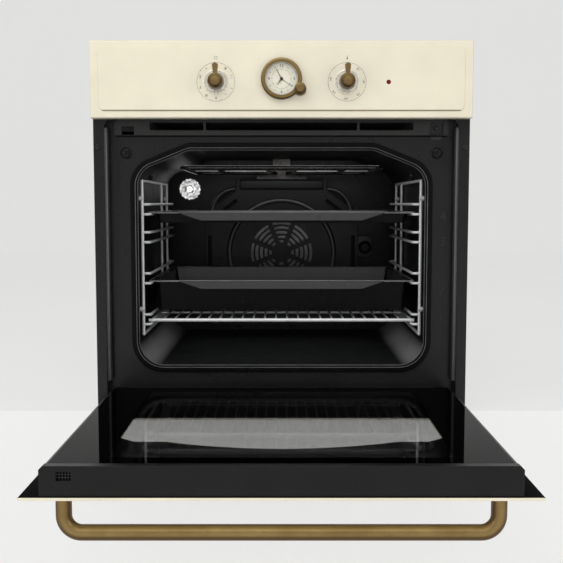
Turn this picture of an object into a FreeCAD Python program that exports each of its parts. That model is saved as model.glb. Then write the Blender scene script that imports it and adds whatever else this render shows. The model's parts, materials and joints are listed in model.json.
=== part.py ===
import FreeCAD, Part
import math
import os

# Built-in oven with a drop-down door, in millimetres.
# X runs to the right, Y into the cabinet and Z up. The origin is the middle of the front edge of the
# shelf that carries the oven: y = 0 is the front of the cabinet and z = 0 the underside of the base.
# The door is modelled shut and then turned down, because it rests open.

V = FreeCAD.Vector
X_AXIS = V(1, 0, 0)
Y_AXIS = V(0, 1, 0)
Z_AXIS = V(0, 0, 1)
SIDES = (-1, 1)

# Sheet thicknesses and general clearances
SHEET = 1.2
CASING_WALL = 1.0
FIT = 0.3
RUNNING_FIT = 0.06
SEAT = 0.2

# Front
FRONT_WIDTH = 595.0
FRONT_HEIGHT = 595.0
FRONT_BELOW_SHELF = 7.0
FRONT_HALF = FRONT_WIDTH / 2
FRONT_BOTTOM = -FRONT_BELOW_SHELF
FRONT_TOP = FRONT_HEIGHT - FRONT_BELOW_SHELF
FLANGE_Y = -SHEET

# Control panel
PANEL_PROUD = 22.0
PANEL_HEIGHT = 119.0
PANEL_EDGE_ROUND = 2.5
FIELD_MARGIN_SIDE = 13.0
FIELD_MARGIN_TOP = 9.5
FIELD_MARGIN_BOTTOM = 10.5
FIELD_ROUND = 10.0
FIELD_RISE = 1.2
FIELD_EDGE = FIELD_RISE - FIT
PANEL_BOTTOM = FRONT_TOP - PANEL_HEIGHT
PANEL_Y = -PANEL_PROUD
FIELD_Y = PANEL_Y - FIELD_RISE
PANEL_INSIDE_Y = PANEL_Y + SHEET

# Door, with its hinge axis placed so that the open door clears the flanges and the base
DOOR_GAP = 3.0
DOOR_DEPTH = 38.5
DOOR_SKIN = 2.6
DOOR_SKIN_ROUND = 1.0
HINGE_ABOVE_EDGE = 3.0
OPEN_EDGE_GAP = 0.8
OPEN_DOOR_GAP = 3.0
DOOR_TOP = PANEL_BOTTOM - DOOR_GAP
DOOR_INSIDE_Y = PANEL_Y + DOOR_DEPTH
SKIN_BACK_Y = PANEL_Y + DOOR_SKIN
HINGE_Y = FLANGE_Y - OPEN_EDGE_GAP - HINGE_ABOVE_EDGE
HINGE_Z = CASING_WALL + OPEN_DOOR_GAP + HINGE_Y - PANEL_Y
DOOR_BOTTOM = HINGE_Z - HINGE_ABOVE_EDGE

# Recess of the front frame, into which the door closes
RECESS_MARGIN = 16.5
FRAME_BEND = 1.0
RECESS_ROUND = 19.0
RECESS_ABOVE_PANEL_EDGE = 3.0
SEAL_SPACE = 4.5
RECESS_HALF = FRONT_HALF - RECESS_MARGIN
RECESS_TOP = PANEL_BOTTOM + RECESS_ABOVE_PANEL_EDGE
FACE_Y = DOOR_INSIDE_Y + SEAL_SPACE
FACE_BACK_Y = FACE_Y + SHEET

# Mouth of the cavity: straight sides, rounded lower corners and slanted upper corners
MOUTH_FROM_SIDE = 49.0
MOUTH_FROM_TOP = 50.0
MOUTH_BOTTOM = 72.6
MOUTH_SHOULDER = 83.5
MOUTH_SLANT = 22.0
MOUTH_LOWER_ROUND = 40.0
MOUTH_SIDE_ROUND = 34.0
MOUTH_TOP_ROUND = 24.0
MOUTH_HALF = RECESS_HALF - MOUTH_FROM_SIDE
MOUTH_TOP = RECESS_TOP - MOUTH_FROM_TOP

# Cavity
CAVITY_STEP = 4.0
CAVITY_DEPTH = 443.8
CAVITY_HALF = MOUTH_HALF + CAVITY_STEP
CAVITY_FLOOR = MOUTH_BOTTOM - CAVITY_STEP
CAVITY_ROOF = MOUTH_TOP + CAVITY_STEP
CAVITY_BACK_Y = FACE_BACK_Y + CAVITY_DEPTH
BACK_OUTSIDE_Y = CAVITY_BACK_Y + SHEET

# Seal
SEAL_WIDTH = 10.5
SEAL_FROM_MOUTH = 1.0
SEAL_CLEARANCE = 0.5
SEAL_ROUND = 1.6

# Insulation
WOOL_THICK = 22.0
WOOL_FIT = 0.3

# Casing
CASING_INSET = 1.0
CASING_BELOW_TOP = 13.0
REAR_SPACE = 79.0
BASE_UPTURN = 14.0
BASE_SET_BACK = 3.0
CASING_HALF = RECESS_HALF - CASING_INSET
CASING_HEIGHT = FRONT_TOP - CASING_BELOW_TOP
CASING_DEPTH = CAVITY_BACK_Y + REAR_SPACE
CASING_INSIDE = CASING_HALF - CASING_WALL
CASING_ROOF = CASING_HEIGHT - CASING_WALL
REAR_INSIDE_Y = CASING_DEPTH - CASING_WALL
BASE_LIP_Y = PANEL_Y + BASE_SET_BACK

# Rear of the casing
TERMINAL_FROM_SIDE = 80.0
TERMINAL_BELOW_TOP = 60.0
TERMINAL_WIDTH = 84.0
TERMINAL_HEIGHT = 66.0
TERMINAL_DEPTH = 15.0
INLET_RADIUS = 5.5
INLET_LENGTH = 33.0
LOUVRES = 9
LOUVRE_LENGTH = 60.0
LOUVRE_WIDTH = 6.0
LOUVRE_PITCH = 16.0
LOUVRE_BELOW_TOP = 95.0
LOUVRE_FROM_REAR = 90.0
SCREW_HEAD = 4.0
SCREW_HEAD_HEIGHT = 2.2
SCREW_SHANK = 1.8
SCREW_LENGTH = 4.0
SCREW_FROM_EDGE = 14.0
SCREW_FROM_END = 38.0
TERMINAL_X = TERMINAL_FROM_SIDE - CASING_HALF
TERMINAL_Z = CASING_HEIGHT - TERMINAL_BELOW_TOP
LOUVRE_BOTTOM = CASING_HEIGHT - LOUVRE_BELOW_TOP

# Knobs, the switches behind them and the indicator
KNOB_SPREAD = 101.5
KNOB_BELOW_TOP = 64.0
KNOB_RADIUS = 11.2
KNOB_FACE = 7.8
KNOB_LENGTH = 20.0
KNOB_LIFT = 0.8
KNOB_CROWN = 3.0
NECK_RADIUS = 7.5
COLLAR_RADIUS = 19.5
COLLAR_TOP_RADIUS = 14.0
COLLAR_SHOULDER = 1.0
COLLAR_HEIGHT = 5.0
POINTER_REACH = 27.0
POINTER_ROOT = 4.8
POINTER_TIP = 9.0
POINTER_POINT = 3.0
POINTER_THICK = 9.0
POINTER_FROM_FRONT = 3.0
STEM_RADIUS = 3.0
STEM_LENGTH = 42.0
SWITCH_BODY = 23.0
SWITCH_BODY_DEPTH = 34.0
BUSH_RADIUS = 8.0
BUSH_CLEARANCE = 1.0
INDICATOR_X = 166.0
INDICATOR_RADIUS = 3.5
INDICATOR_FACE = 2.4
INDICATOR_DOME = 1.8
INDICATOR_BEVEL = 0.6
KNOB_Z = FRONT_TOP - KNOB_BELOW_TOP
COLLAR_FRONT_Y = FIELD_Y - COLLAR_HEIGHT
KNOB_BACK_Y = COLLAR_FRONT_Y - KNOB_LIFT
KNOB_FRONT_Y = KNOB_BACK_Y - KNOB_LENGTH
STEM_END_Y = KNOB_BACK_Y + STEM_LENGTH

# Clock, built up from the panel: dial, two hands, gap, glass and the lip of the bezel
CLOCK_BELOW_TOP = 59.5
BEZEL_RADIUS = 31.7
BEZEL_WALL = 3.7
BEZEL_LIP_WIDTH = 2.5
BEZEL_LIP = 2.0
BEZEL_ROUND = 2.8
DIAL_THICK = 1.2
DIAL_HOLE_GAP = 0.7
GLASS_THICK = 1.4
GLASS_GAP = 1.9
HAND_THICK = 0.6
HAND_LIFT = 1.2
HAND_SPACE = 0.6
HOUR_HAND = 11.5
HOUR_WIDTH = 1.8
HOUR_TURN = 217.0
MINUTE_HAND = 17.5
MINUTE_WIDTH = 1.3
MINUTE_TURN = 332.0
HAND_TIP = 0.5
HAND_TUBE = 1.7
HAND_TUBE_LENGTH = 9.0
HAND_SHAFT = 0.8
HAND_SHAFT_LENGTH = 18.0
SETTER_OUT = 1.2
SETTER_ANGLE = 29.0
SETTER_RADIUS = 9.0
SETTER_FACE = 5.4
SETTER_HEIGHT = 8.0
SETTER_CROWN = 2.7
SETTER_STEM = 23.5
BOSS_RADIUS = 9.6
MOVEMENT_HALF = 28.0
MOVEMENT_DEPTH = 30.0
CLOCK_Z = FRONT_TOP - CLOCK_BELOW_TOP
DIAL_RADIUS = BEZEL_RADIUS - BEZEL_WALL
DIAL_HOLE = HAND_TUBE + DIAL_HOLE_GAP
DIAL_Y = FIELD_Y - DIAL_THICK
HOUR_Y = DIAL_Y - HAND_LIFT
MINUTE_Y = HOUR_Y - HAND_THICK - HAND_SPACE
GLASS_Y = MINUTE_Y - HAND_THICK - GLASS_GAP - GLASS_THICK
BEZEL_FRONT_Y = GLASS_Y - BEZEL_LIP
HAND_TUBE_END_Y = PANEL_INSIDE_Y + HAND_TUBE_LENGTH
HAND_SHAFT_END_Y = PANEL_INSIDE_Y + HAND_SHAFT_LENGTH
SETTER_X = (BEZEL_RADIUS + SETTER_OUT) * math.cos(math.radians(SETTER_ANGLE))
SETTER_Z = CLOCK_Z - (BEZEL_RADIUS + SETTER_OUT) * math.sin(math.radians(SETTER_ANGLE))
SETTER_END_Y = BEZEL_FRONT_Y + SETTER_STEM

# Cooling air above the cavity
DUCT_ABOVE_WOOL = 2.5
DUCT_HEIGHT = 14.0
DUCT_WALL = 1.0
DUCT_BESIDE_SLOTS = 2.0
BLOWER_Y = 330.0
BLOWER_GAP = 14.0
BLOWER_ABOVE_WHEEL = 10.0
BLOWER_INLET = 48.0
WHEEL_RADIUS = 78.0
WHEEL_BLADE = 23.0
WHEEL_BLADES = 20
WHEEL_HEIGHT = 30.0
WHEEL_LIFT = 5.0
WHEEL_HUB = 9.0
WHEEL_SHAFT = 3.0
BLOWER_MOTOR_RADIUS = 28.0
BLOWER_MOTOR_HEIGHT = 42.0
SPIDER_WIDTH = 14.0
SPIDER_LAP = 14.0
SPIDER_THICK = 2.0
DUCT_FLOOR = CAVITY_ROOF + SHEET + WOOL_FIT + WOOL_THICK + DUCT_ABOVE_WOOL
SHELF_TOP = DUCT_FLOOR + SHEET
BLOWER_RADIUS = WHEEL_RADIUS + BLOWER_GAP
BLOWER_TOP = SHELF_TOP + WHEEL_LIFT + WHEEL_HEIGHT + BLOWER_ABOVE_WHEEL

# Vent trim, door switch and buffers
TRIM_BELOW_DUCT = 7.0
TRIM_FROM_RECESS = 13.0
TRIM_ROUND = 10.0
TRIM_FORWARD = 3.0
TRIM_SLOT_HEIGHT = 12.0
TRIM_SLOT_WIDE = 242.0
TRIM_SLOT_WEB = 4.0
SLOTS_FROM_RECESS = 70.0
CATCH_FROM_RECESS = 35.0
CATCH_WIDTH = 20.0
CATCH_HEIGHT = 13.0
SWITCH_FROM_RECESS = 33.0
SWITCH_WIDTH = 22.0
SWITCH_HEIGHT = 20.0
SWITCH_TAB = 7.0
SWITCH_TAB_INSET = 2.4
SWITCH_DEPTH = 24.0
PLUNGER_RADIUS = 3.2
PLUNGER_ROUND = 1.0
PLUNGER_TRAVEL = 4.0
PLUNGER_LENGTH = 17.0
OPENING_SILL = 1.2
BUFFER_FROM_RECESS = 31.7
BUFFER_BELOW_TRIM = 28.0
BUFFER_RADIUS = 8.5
BUFFER_PROUD = 3.0
TRIM_BOTTOM = DUCT_FLOOR - TRIM_BELOW_DUCT
TRIM_HALF = RECESS_HALF - TRIM_FROM_RECESS
TRIM_Y = FACE_Y - TRIM_FORWARD
TRIM_SLOT_BOTTOM = SHELF_TOP + SEAT
SLOTS_HALF = RECESS_HALF - SLOTS_FROM_RECESS
DUCT_HALF = SLOTS_HALF + DUCT_BESIDE_SLOTS
CATCH_X = CATCH_FROM_RECESS - RECESS_HALF
SWITCH_X = RECESS_HALF - SWITCH_FROM_RECESS
OPENING_BOTTOM = TRIM_BOTTOM + OPENING_SILL
PLUNGER_Z = OPENING_BOTTOM + SWITCH_HEIGHT / 2
PLUNGER_TIP_Y = DOOR_INSIDE_Y + SEAL_CLEARANCE
BUFFER_X = RECESS_HALF - BUFFER_FROM_RECESS
BUFFER_Z = TRIM_BOTTOM - BUFFER_BELOW_TRIM

# Cabinet screw holes in the side flanges
FIXING_FROM_EDGE = 7.5
FIXING_BELOW_TOP = 162.4
FIXING_HOLE = 2.5
FIXING_X = FRONT_HALF - FIXING_FROM_EDGE
FIXING_Z = FRONT_TOP - FIXING_BELOW_TOP

# Elements and the cover of the fan
ELEMENT_TUBE = 3.25
ELEMENT_TAIL = 28.0
ELEMENT_BEND = 18.0
GRILL_BELOW_ROOF = 29.0
GRILL_FROM_WALL = 66.0
GRILL_FROM_FRONT = 69.8
GRILL_LOOP_GAP = 58.0
GRILL_LOOP_REAR_GAP = 22.0
GRILL_LEG = 32.0
GRILL_INNER_LEG = 11.0
BRACKET_FROM_COVER = 14.0
BRACKET_FROM_BEND = 2.0
BRACKET_HALF = 51.0
BRACKET_BELOW = 11.0
BRACKET_ABOVE = 7.0
BRACKET_STEM_HALF = 18.0
BOTTOM_FROM_WALL = 86.0
BOTTOM_FROM_FRONT = 72.8
BOTTOM_FROM_REAR = 71.0
BOTTOM_LEG = 20.0
COVER_STANDOFF = 38.0
COVER_FROM_WALL = 78.0
COVER_FROM_FLOOR = 15.4
COVER_BELOW_GRILL = 10.0
COVER_NECK = 66.0
COVER_NECK_HEIGHT = 25.0
COVER_SHOULDER_HEIGHT = 44.0
COVER_ROUND = 12.0
COVER_SHOULDER_ROUND = 36.0
COVER_NECK_ROUND = 24.0
COVER_TOP_ROUND = 6.0
RING_SLOTS = 5
RING_FIRST = 20.0
RING_PITCH = 9.6
RING_SLOT = 5.6
RING_SECTORS = 8
RING_WEB = 9.0
DISH_RADIUS = 108.0
DISH_BEAD = 3.0
OUTLET_WIDTH = 8.0
OUTLET_FROM_BOTTOM = 36.0
OUTLET_FROM_SHOULDER = 48.0
OUTLET_INSET = 10.0
GRILL_Z = CAVITY_ROOF - GRILL_BELOW_ROOF
COVER_Y = CAVITY_BACK_Y - COVER_STANDOFF
COVER_HALF = CAVITY_HALF - COVER_FROM_WALL
COVER_NECK_HALF = COVER_HALF - COVER_NECK
COVER_BOTTOM = CAVITY_FLOOR + COVER_FROM_FLOOR
COVER_TOP = GRILL_Z - COVER_BELOW_GRILL
COVER_NECK_Z = COVER_TOP - COVER_NECK_HEIGHT
COVER_SHOULDER_Z = COVER_NECK_Z - COVER_SHOULDER_HEIGHT
BRACKET_Y = COVER_Y - BRACKET_FROM_COVER
GRILL_HALF = CAVITY_HALF - GRILL_FROM_WALL
GRILL_FRONT_Y = FACE_BACK_Y + GRILL_FROM_FRONT
GRILL_REAR_Y = BRACKET_Y - ELEMENT_BEND - BRACKET_FROM_BEND
BOTTOM_HALF = CAVITY_HALF - BOTTOM_FROM_WALL
BOTTOM_FRONT_Y = FACE_BACK_Y + BOTTOM_FROM_FRONT
BOTTOM_REAR_Y = CAVITY_BACK_Y - BOTTOM_FROM_REAR

# Convection fan and the ring element about it
FAN_DROP = 0.8
FAN_RADIUS = 74.0
FAN_BLADE = 36.0
FAN_BLADES = 14
FAN_HUB = 11.0
FAN_SHAFT = 4.0
FAN_FROM_WALL = 9.0
FAN_FROM_COVER = 7.8
RING_FROM_FAN = 18.0
RING_LEG = 12.0
RING_SLEEVE = ELEMENT_TUBE + 0.75
MOTOR_RADIUS = 34.0
MOTOR_LENGTH = 42.0
MOTOR_FLANGE = 50.0
MOTOR_POSTS = 3
MOTOR_POST_CIRCLE = 41.0
MOTOR_POST = 4.0
MOTOR_PLATE = 2.0
FAN_Z = (COVER_BOTTOM + COVER_TOP) / 2 - FAN_DROP
FAN_BACK_Y = CAVITY_BACK_Y - FAN_FROM_WALL
FAN_FRONT_Y = COVER_Y + SHEET + FAN_FROM_COVER
RING_RADIUS = FAN_RADIUS + RING_FROM_FAN
RING_LEG_Z = FAN_Z + math.sqrt(RING_RADIUS ** 2 - RING_LEG ** 2)
RING_Y = (FAN_FRONT_Y + FAN_BACK_Y) / 2
MOTOR_Y = BACK_OUTSIDE_Y + WOOL_THICK
MOTOR_END_Y = MOTOR_Y + MOTOR_LENGTH

# Lamp and rear cap
LAMP_FROM_WALL = 44.0
LAMP_BELOW_ROOF = 60.0
LAMP_RADIUS = 22.5
LAMP_CROWN = 13.5
LAMP_CROWN_DROP = 2.0
LAMP_DOME = 11.0
LAMP_LENGTH = 20.0
LAMP_WALL = 2.0
LAMP_SOCKET = 19.0
LAMP_SOCKET_LENGTH = 34.0
BULB_RADIUS = 9.5
BULB_GAP = 2.4
CAP_RADIUS = 14.5
CAP_FACE = 8.0
CAP_LENGTH = 9.0
CAP_BEVEL = 4.5
CAP_FROM_COVER = 3.5
CAP_RISE = 9.3
LAMP_X = LAMP_FROM_WALL - CAVITY_HALF
LAMP_Z = CAVITY_ROOF - LAMP_BELOW_ROOF
CAP_X = COVER_HALF + CAP_FROM_COVER + CAP_RADIUS
CAP_Z = FAN_Z + CAP_RISE

# Side racks: two levels are set from the floor of the cavity and two from its roof
RACK_WIRE = 2.5
RACK_FROM_WALL = 5.0
RACK_FROM_FRONT = 37.8
RACK_FROM_COVER = 48.0
RACK_BRACE = 80.0
RACK_BELOW_ROOF = 52.0
RACK_BELOW_RUNG = 16.5
RUNG_WIRE = 2.3
RUNG_INSET = 12.0
RUNG_BEND = 7.0
RUNGS_ABOVE_FLOOR = (65.9, 134.9)
RUNGS_BELOW_ROOF = (154.0, 107.5)
GUARD_RISE = 16.5
STUD_RADIUS = 4.0
STUD_FROM_BOTTOM = 42.0
STUD_FROM_TOP = 29.0
RACK_X = CAVITY_HALF - RACK_FROM_WALL
RUNG_X = RACK_X - RUNG_INSET
RACK_FRONT_Y = FACE_BACK_Y + RACK_FROM_FRONT
RACK_REAR_Y = COVER_Y - RACK_FROM_COVER
RACK_MIDDLE_Y = RACK_REAR_Y - RACK_BRACE
RUNG_LEVELS = [CAVITY_FLOOR + rise for rise in RUNGS_ABOVE_FLOOR]
RUNG_LEVELS += [CAVITY_ROOF - drop for drop in RUNGS_BELOW_ROOF]
RACK_BOTTOM = RUNG_LEVELS[0] - RACK_BELOW_RUNG
RACK_TOP = CAVITY_ROOF - RACK_BELOW_ROOF

# Trays and shelf
TRAY_SHEET = 1.0
TRAY_BEHIND_RACK = 10.0
TRAY_FROM_COVER = 28.0
TRAY_SIDE_GAP = 4.5
TRAY_CORNER = 4.0
BASIN_FROM_RUNG = 3.7
BASIN_FROM_ENDS = 12.0
BASIN_DRAFT = 4.0
BASIN_ROUND = 9.0
TRAY_DEPTH = 17.0
PAN_DEPTH = 50.0
LIP_DROP = 13.0
LIP_FROM_SIDE = 47.0
LIP_SLANT = 42.0
SHELF_FRAME = 3.0
SHELF_WIRE = 1.6
SHELF_PITCH = 19.0
SHELF_BAR = 2.2
SHELF_BARS = 2
SHELF_RUNG = RUNG_LEVELS[0]
PAN_RUNG = RUNG_LEVELS[1]
TRAY_RUNG = RUNG_LEVELS[3]
TRAY_HALF = RACK_X - RACK_WIRE - TRAY_SIDE_GAP
TRAY_FRONT_Y = RACK_FRONT_Y + TRAY_BEHIND_RACK
TRAY_REAR_Y = COVER_Y - TRAY_FROM_COVER
BASIN_HALF = RUNG_X - RUNG_WIRE - BASIN_FROM_RUNG
LIP_HALF = TRAY_HALF - LIP_FROM_SIDE

# Door fillings
PROFILE_FROM_RECESS = 7.0
PROFILE_CHAMFER = 4.5
PROFILE_WALL = 1.6
TOP_PROFILE = 15.0
TOP_PROFILE_SET_BACK = 3.0
INNER_GLASS = 4.0
INNER_GLASS_INSET = 8.0
INNER_GLASS_LIFT = 12.0
GLASS_LAP = 4.0
SIDE_TUBE = 26.0
SIDE_TUBE_INSET = 2.0
SIDE_TUBE_LIFT = 14.0
BOTTOM_PROFILE_GAP = 1.5
MIDDLE_GLASS = 4.0
WINDOW_GLASS = 4.0
WINDOW_GLASS_LAP = 16.0
WINDOW_GLASS_SIDE_GAP = 6.5
WINDOW_FROM_SIDE = 74.0
WINDOW_LIFT = 96.0
WINDOW_SIDE = 113.0
WINDOW_CHAMFER = 21.5
WINDOW_CHAMFER_RISE = 20.0
WINDOW_LEDGE = 43.0
WINDOW_ARCH_RISE = 35.0
WINDOW_LOWER_ROUND = 5.0
STRIKE_WIDTH = 17.0
STRIKE_HEIGHT = 10.5
STRIKE_FROM_GLASS = 3.0
PROFILE_HALF = RECESS_HALF - PROFILE_FROM_RECESS
TUBE_INSIDE_Y = DOOR_INSIDE_Y - INNER_GLASS
SIDE_TUBE_OUTSIDE = PROFILE_HALF - SIDE_TUBE_INSET
SIDE_TUBE_INSIDE = SIDE_TUBE_OUTSIDE - SIDE_TUBE
SIDE_TUBE_BOTTOM = DOOR_BOTTOM + SIDE_TUBE_LIFT
TOP_PROFILE_TOP = DOOR_TOP - TOP_PROFILE_SET_BACK
TOP_PROFILE_BOTTOM = TOP_PROFILE_TOP - TOP_PROFILE
BOTTOM_PROFILE_LOW = DOOR_BOTTOM + BOTTOM_PROFILE_GAP
INNER_GLASS_HALF = PROFILE_HALF - INNER_GLASS_INSET
INNER_GLASS_BOTTOM = DOOR_BOTTOM + INNER_GLASS_LIFT
INNER_GLASS_TOP = TOP_PROFILE_BOTTOM + GLASS_LAP
MIDDLE_GLASS_Y = (SKIN_BACK_Y + WINDOW_GLASS + TUBE_INSIDE_Y - MIDDLE_GLASS) / 2
WINDOW_HALF = FRONT_HALF - WINDOW_FROM_SIDE
WINDOW_BOTTOM = DOOR_BOTTOM + WINDOW_LIFT
WINDOW_SIDE_TOP = WINDOW_BOTTOM + WINDOW_SIDE
WINDOW_LEDGE_Z = WINDOW_SIDE_TOP + WINDOW_CHAMFER_RISE
WINDOW_LEDGE_HALF = WINDOW_HALF - WINDOW_CHAMFER
WINDOW_ARCH_HALF = WINDOW_LEDGE_HALF - WINDOW_LEDGE
WINDOW_ARCH_TOP = WINDOW_LEDGE_Z + WINDOW_ARCH_RISE

# Hinges
ARM_THICK = 5.0
ARM_EYE = 7.0
ARM_HALF_HEIGHT = 6.0
PIN_RADIUS = 4.0
RECEIVER_HALF = 8.0
RECEIVER_RISE = 20.0
RECEIVER_DEPTH = 40.0
RECEIVER_END = 1.2
HINGE_SLOT_SIDE = 3.5
HINGE_SLOT_RISE = 5.0
HINGE_CHEEK = 2.0
HINGE_WEB_GAP = 1.0
HINGE_BODY_HEIGHT = 96.0
HINGE_BODY_FREE = 2.9
HINGE_X = SIDE_TUBE_OUTSIDE - SIDE_TUBE / 2
HINGE_BODY_HALF = SIDE_TUBE / 2 - PROFILE_WALL - SEAT
HINGE_BODY_BACK_Y = HINGE_Y - ARM_EYE - HINGE_WEB_GAP - HINGE_CHEEK
HINGE_BODY_FRONT_Y = TUBE_INSIDE_Y - PROFILE_WALL - HINGE_BODY_FREE
ARM_END_Y = FACE_BACK_Y + RECEIVER_DEPTH - RECEIVER_END

# Handle
HANDLE_FROM_SIDE = 42.5
HANDLE_BELOW_TOP = 40.0
HANDLE_RADIUS = 9.5
HANDLE_WALL = 1.5
HANDLE_STANDOFF = 52.0
HANDLE_BEND = 21.0
HANDLE_FOOT = 13.0
HANDLE_FOOT_LENGTH = 4.0
HANDLE_X = FRONT_HALF - HANDLE_FROM_SIDE
HANDLE_Z = DOOR_TOP - HANDLE_BELOW_TOP
HANDLE_BAR_Y = PANEL_Y - HANDLE_STANDOFF

os.makedirs("parts", exist_ok=True)


# Helpers

def box(x0, x1, y0, y1, z0, z1):
    """A block between two corners."""
    return Part.makeBox(x1 - x0, y1 - y0, z1 - z0, V(x0, y0, z0))


def rod(radius, start, end):
    """A round bar between two points."""
    along = V(*end) - V(*start)
    return Part.makeCylinder(radius, along.Length, V(*start), along)


def rounded_edges(corners, radii, closed):
    """Lines and tangent arcs through corner points, each corner rounded by its own radius."""
    count = len(corners)
    edges = []
    first = None
    last = None
    for n in range(count):
        corner = corners[n]
        is_end = not closed and n in (0, count - 1)
        if is_end or radii[n] == 0:
            enter = leave = corner
            arc = None
        else:
            back = corners[n - 1] - corner
            ahead = corners[(n + 1) % count] - corner
            half = back.getAngle(ahead) / 2
            back = back * (1 / back.Length)
            ahead = ahead * (1 / ahead.Length)
            reach = radii[n] / math.tan(half)
            enter = corner + back * reach
            leave = corner + ahead * reach
            inward = back + ahead
            inward = inward * (1 / inward.Length)
            middle = corner + inward * (radii[n] / math.sin(half) - radii[n])
            arc = Part.Arc(enter, middle, leave).toShape()
        if last is not None and (enter - last).Length > 1e-6:
            edges.append(Part.LineSegment(last, enter).toShape())
        if arc is not None:
            edges.append(arc)
        if first is None:
            first = enter
        last = leave
    if closed:
        edges.append(Part.LineSegment(last, first).toShape())
    return edges


def upright_loop(points, y):
    """A closed outline at depth y through (x, z, radius) corners."""
    corners = [V(x, y, z) for x, z, r in points]
    return Part.Wire(rounded_edges(corners, [r for x, z, r in points], True))


def upright_plate(points, y0, y1):
    """An outline of (x, z, radius) corners, as thick as y0 to y1."""
    return Part.Face(upright_loop(points, y0)).extrude(V(0, y1 - y0, 0))


def level_loop(points, z):
    """A closed outline at height z through (x, y, radius) corners."""
    corners = [V(x, y, z) for x, y, r in points]
    return Part.Wire(rounded_edges(corners, [r for x, y, r in points], True))


def rectangle(half, low, high, radius):
    """The corners of a rounded rectangle, centred across the part."""
    return [(-half, low, radius), (half, low, radius), (half, high, radius), (-half, high, radius)]


def bent_rod(points, radius, bend):
    """A round bar along straight runs joined by bends of one radius."""
    corners = [V(*p) for p in points]
    path = Part.Wire(rounded_edges(corners, [bend] * len(corners), False))
    profile = Part.Wire(Part.makeCircle(radius, corners[0], corners[1] - corners[0]))
    return path.makePipeShell([profile], True, False)


def turned(points, centre_x, centre_z):
    """A body turned about an axis along Y, from (radius, y) points that start and end on the axis."""
    corners = [V(centre_x + r, y, centre_z) for r, y in points]
    face = Part.Face(Part.makePolygon(corners + corners[:1]))
    return face.revolve(V(centre_x, 0, centre_z), Y_AXIS, 360)


def fused(shapes):
    """One solid from pieces that touch or overlap."""
    whole = shapes[0].multiFuse(shapes[1:]) if len(shapes) > 1 else shapes[0]
    return whole.removeSplitter()


def mirrored(shape):
    """The same piece on the other side of the oven."""
    return shape.mirror(V(0, 0, 0), X_AXIS)


def turned_down(shape):
    """A piece of the shut door, turned down about the hinge to where it rests open."""
    return shape.rotated(V(0, HINGE_Y, HINGE_Z), X_AXIS, 90)


def write(node, *solids):
    """Writes one node, of one or more separate solids."""
    shape = solids[0] if len(solids) == 1 else Part.makeCompound(list(solids))
    for solid in shape.Solids:
        if not solid.isValid() or solid.Volume <= 0:
            raise ValueError(node + " is not a sound solid")
    print(node, len(shape.Solids), round(shape.Volume))
    shape.exportStep("parts/" + node + ".step")


def cavity_outline(grow):
    """The mouth's outline, moved outwards by grow all round."""
    half = MOUTH_HALF + grow
    bottom = MOUTH_BOTTOM - grow
    top = MOUTH_TOP + grow
    slant = math.radians(MOUTH_SLANT)
    flat = MOUTH_HALF - MOUTH_SHOULDER + grow * math.tan(slant / 2)
    shoulder = top - (half - flat) * math.tan(slant)
    lower = MOUTH_LOWER_ROUND + grow
    side = MOUTH_SIDE_ROUND + grow
    upper = MOUTH_TOP_ROUND + grow
    return [(-half, bottom, lower), (half, bottom, lower), (half, shoulder, side),
            (flat, top, upper), (-flat, top, upper), (-half, shoulder, side)]


def cavity_prism(grow, y0, y1):
    """The mouth's outline as a solid between two depths."""
    return upright_plate(cavity_outline(grow), y0, y1)


# Casing

def make_base_pan():
    """The pan that rests on the shelf, with upturned edges and a lip below the door."""
    floor = box(-CASING_INSIDE, CASING_INSIDE, 0, REAR_INSIDE_Y, 0, CASING_WALL)
    tongue = box(-FRONT_HALF, FRONT_HALF, BASE_LIP_Y, FLANGE_Y, 0, CASING_WALL)
    bridge = box(-RECESS_HALF, RECESS_HALF, FLANGE_Y, 0, 0, CASING_WALL)
    lip = box(-FRONT_HALF, FRONT_HALF, BASE_LIP_Y - CASING_WALL, BASE_LIP_Y, FRONT_BOTTOM, CASING_WALL)
    pieces = [floor, tongue, bridge, lip]
    for side in SIDES:
        edge = sorted((side * CASING_INSIDE, side * (CASING_INSIDE - CASING_WALL)))
        pieces.append(box(*edge, FACE_BACK_Y, REAR_INSIDE_Y, 0, BASE_UPTURN))
    write("base_pan", fused(pieces))


def make_side_panels():
    """Plain side sheets, with cooling slots near the top."""
    panels = []
    for side in SIDES:
        wall = sorted((side * CASING_HALF, side * CASING_INSIDE))
        lower = box(*wall, FACE_BACK_Y, REAR_INSIDE_Y, 0, CASING_ROOF)
        upper = box(*wall, 0, FACE_BACK_Y, RECESS_TOP + SHEET + FIT, CASING_ROOF)
        panel = fused([lower, upper])
        for n in range(LOUVRES):
            y = REAR_INSIDE_Y - LOUVRE_FROM_REAR - n * LOUVRE_PITCH
            panel = panel.cut(box(*wall, y, y + LOUVRE_WIDTH, LOUVRE_BOTTOM, LOUVRE_BOTTOM + LOUVRE_LENGTH))
        panels.append(panel)
    write("side_panels", *panels)


def make_top_cover():
    """The lid of the casing, slotted over the blower."""
    lid = box(-CASING_HALF, CASING_HALF, 0, CASING_DEPTH, CASING_ROOF, CASING_HEIGHT)
    for n in range(LOUVRES):
        x = (n - (LOUVRES - 1) / 2) * LOUVRE_PITCH
        start = CASING_DEPTH - LOUVRE_FROM_REAR
        slot = box(x - LOUVRE_WIDTH / 2, x + LOUVRE_WIDTH / 2, start - LOUVRE_LENGTH, start,
                   CASING_ROOF, CASING_HEIGHT)
        lid = lid.cut(slot)
    write("top_cover", lid)


def screw_places():
    """Where the rear cover is screwed on, as (x, z)."""
    spread = CASING_HALF - SCREW_FROM_EDGE
    rows = (SCREW_FROM_END, CASING_HEIGHT / 2, CASING_HEIGHT - SCREW_FROM_END)
    return [(side * spread, z) for side in SIDES for z in rows]


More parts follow.
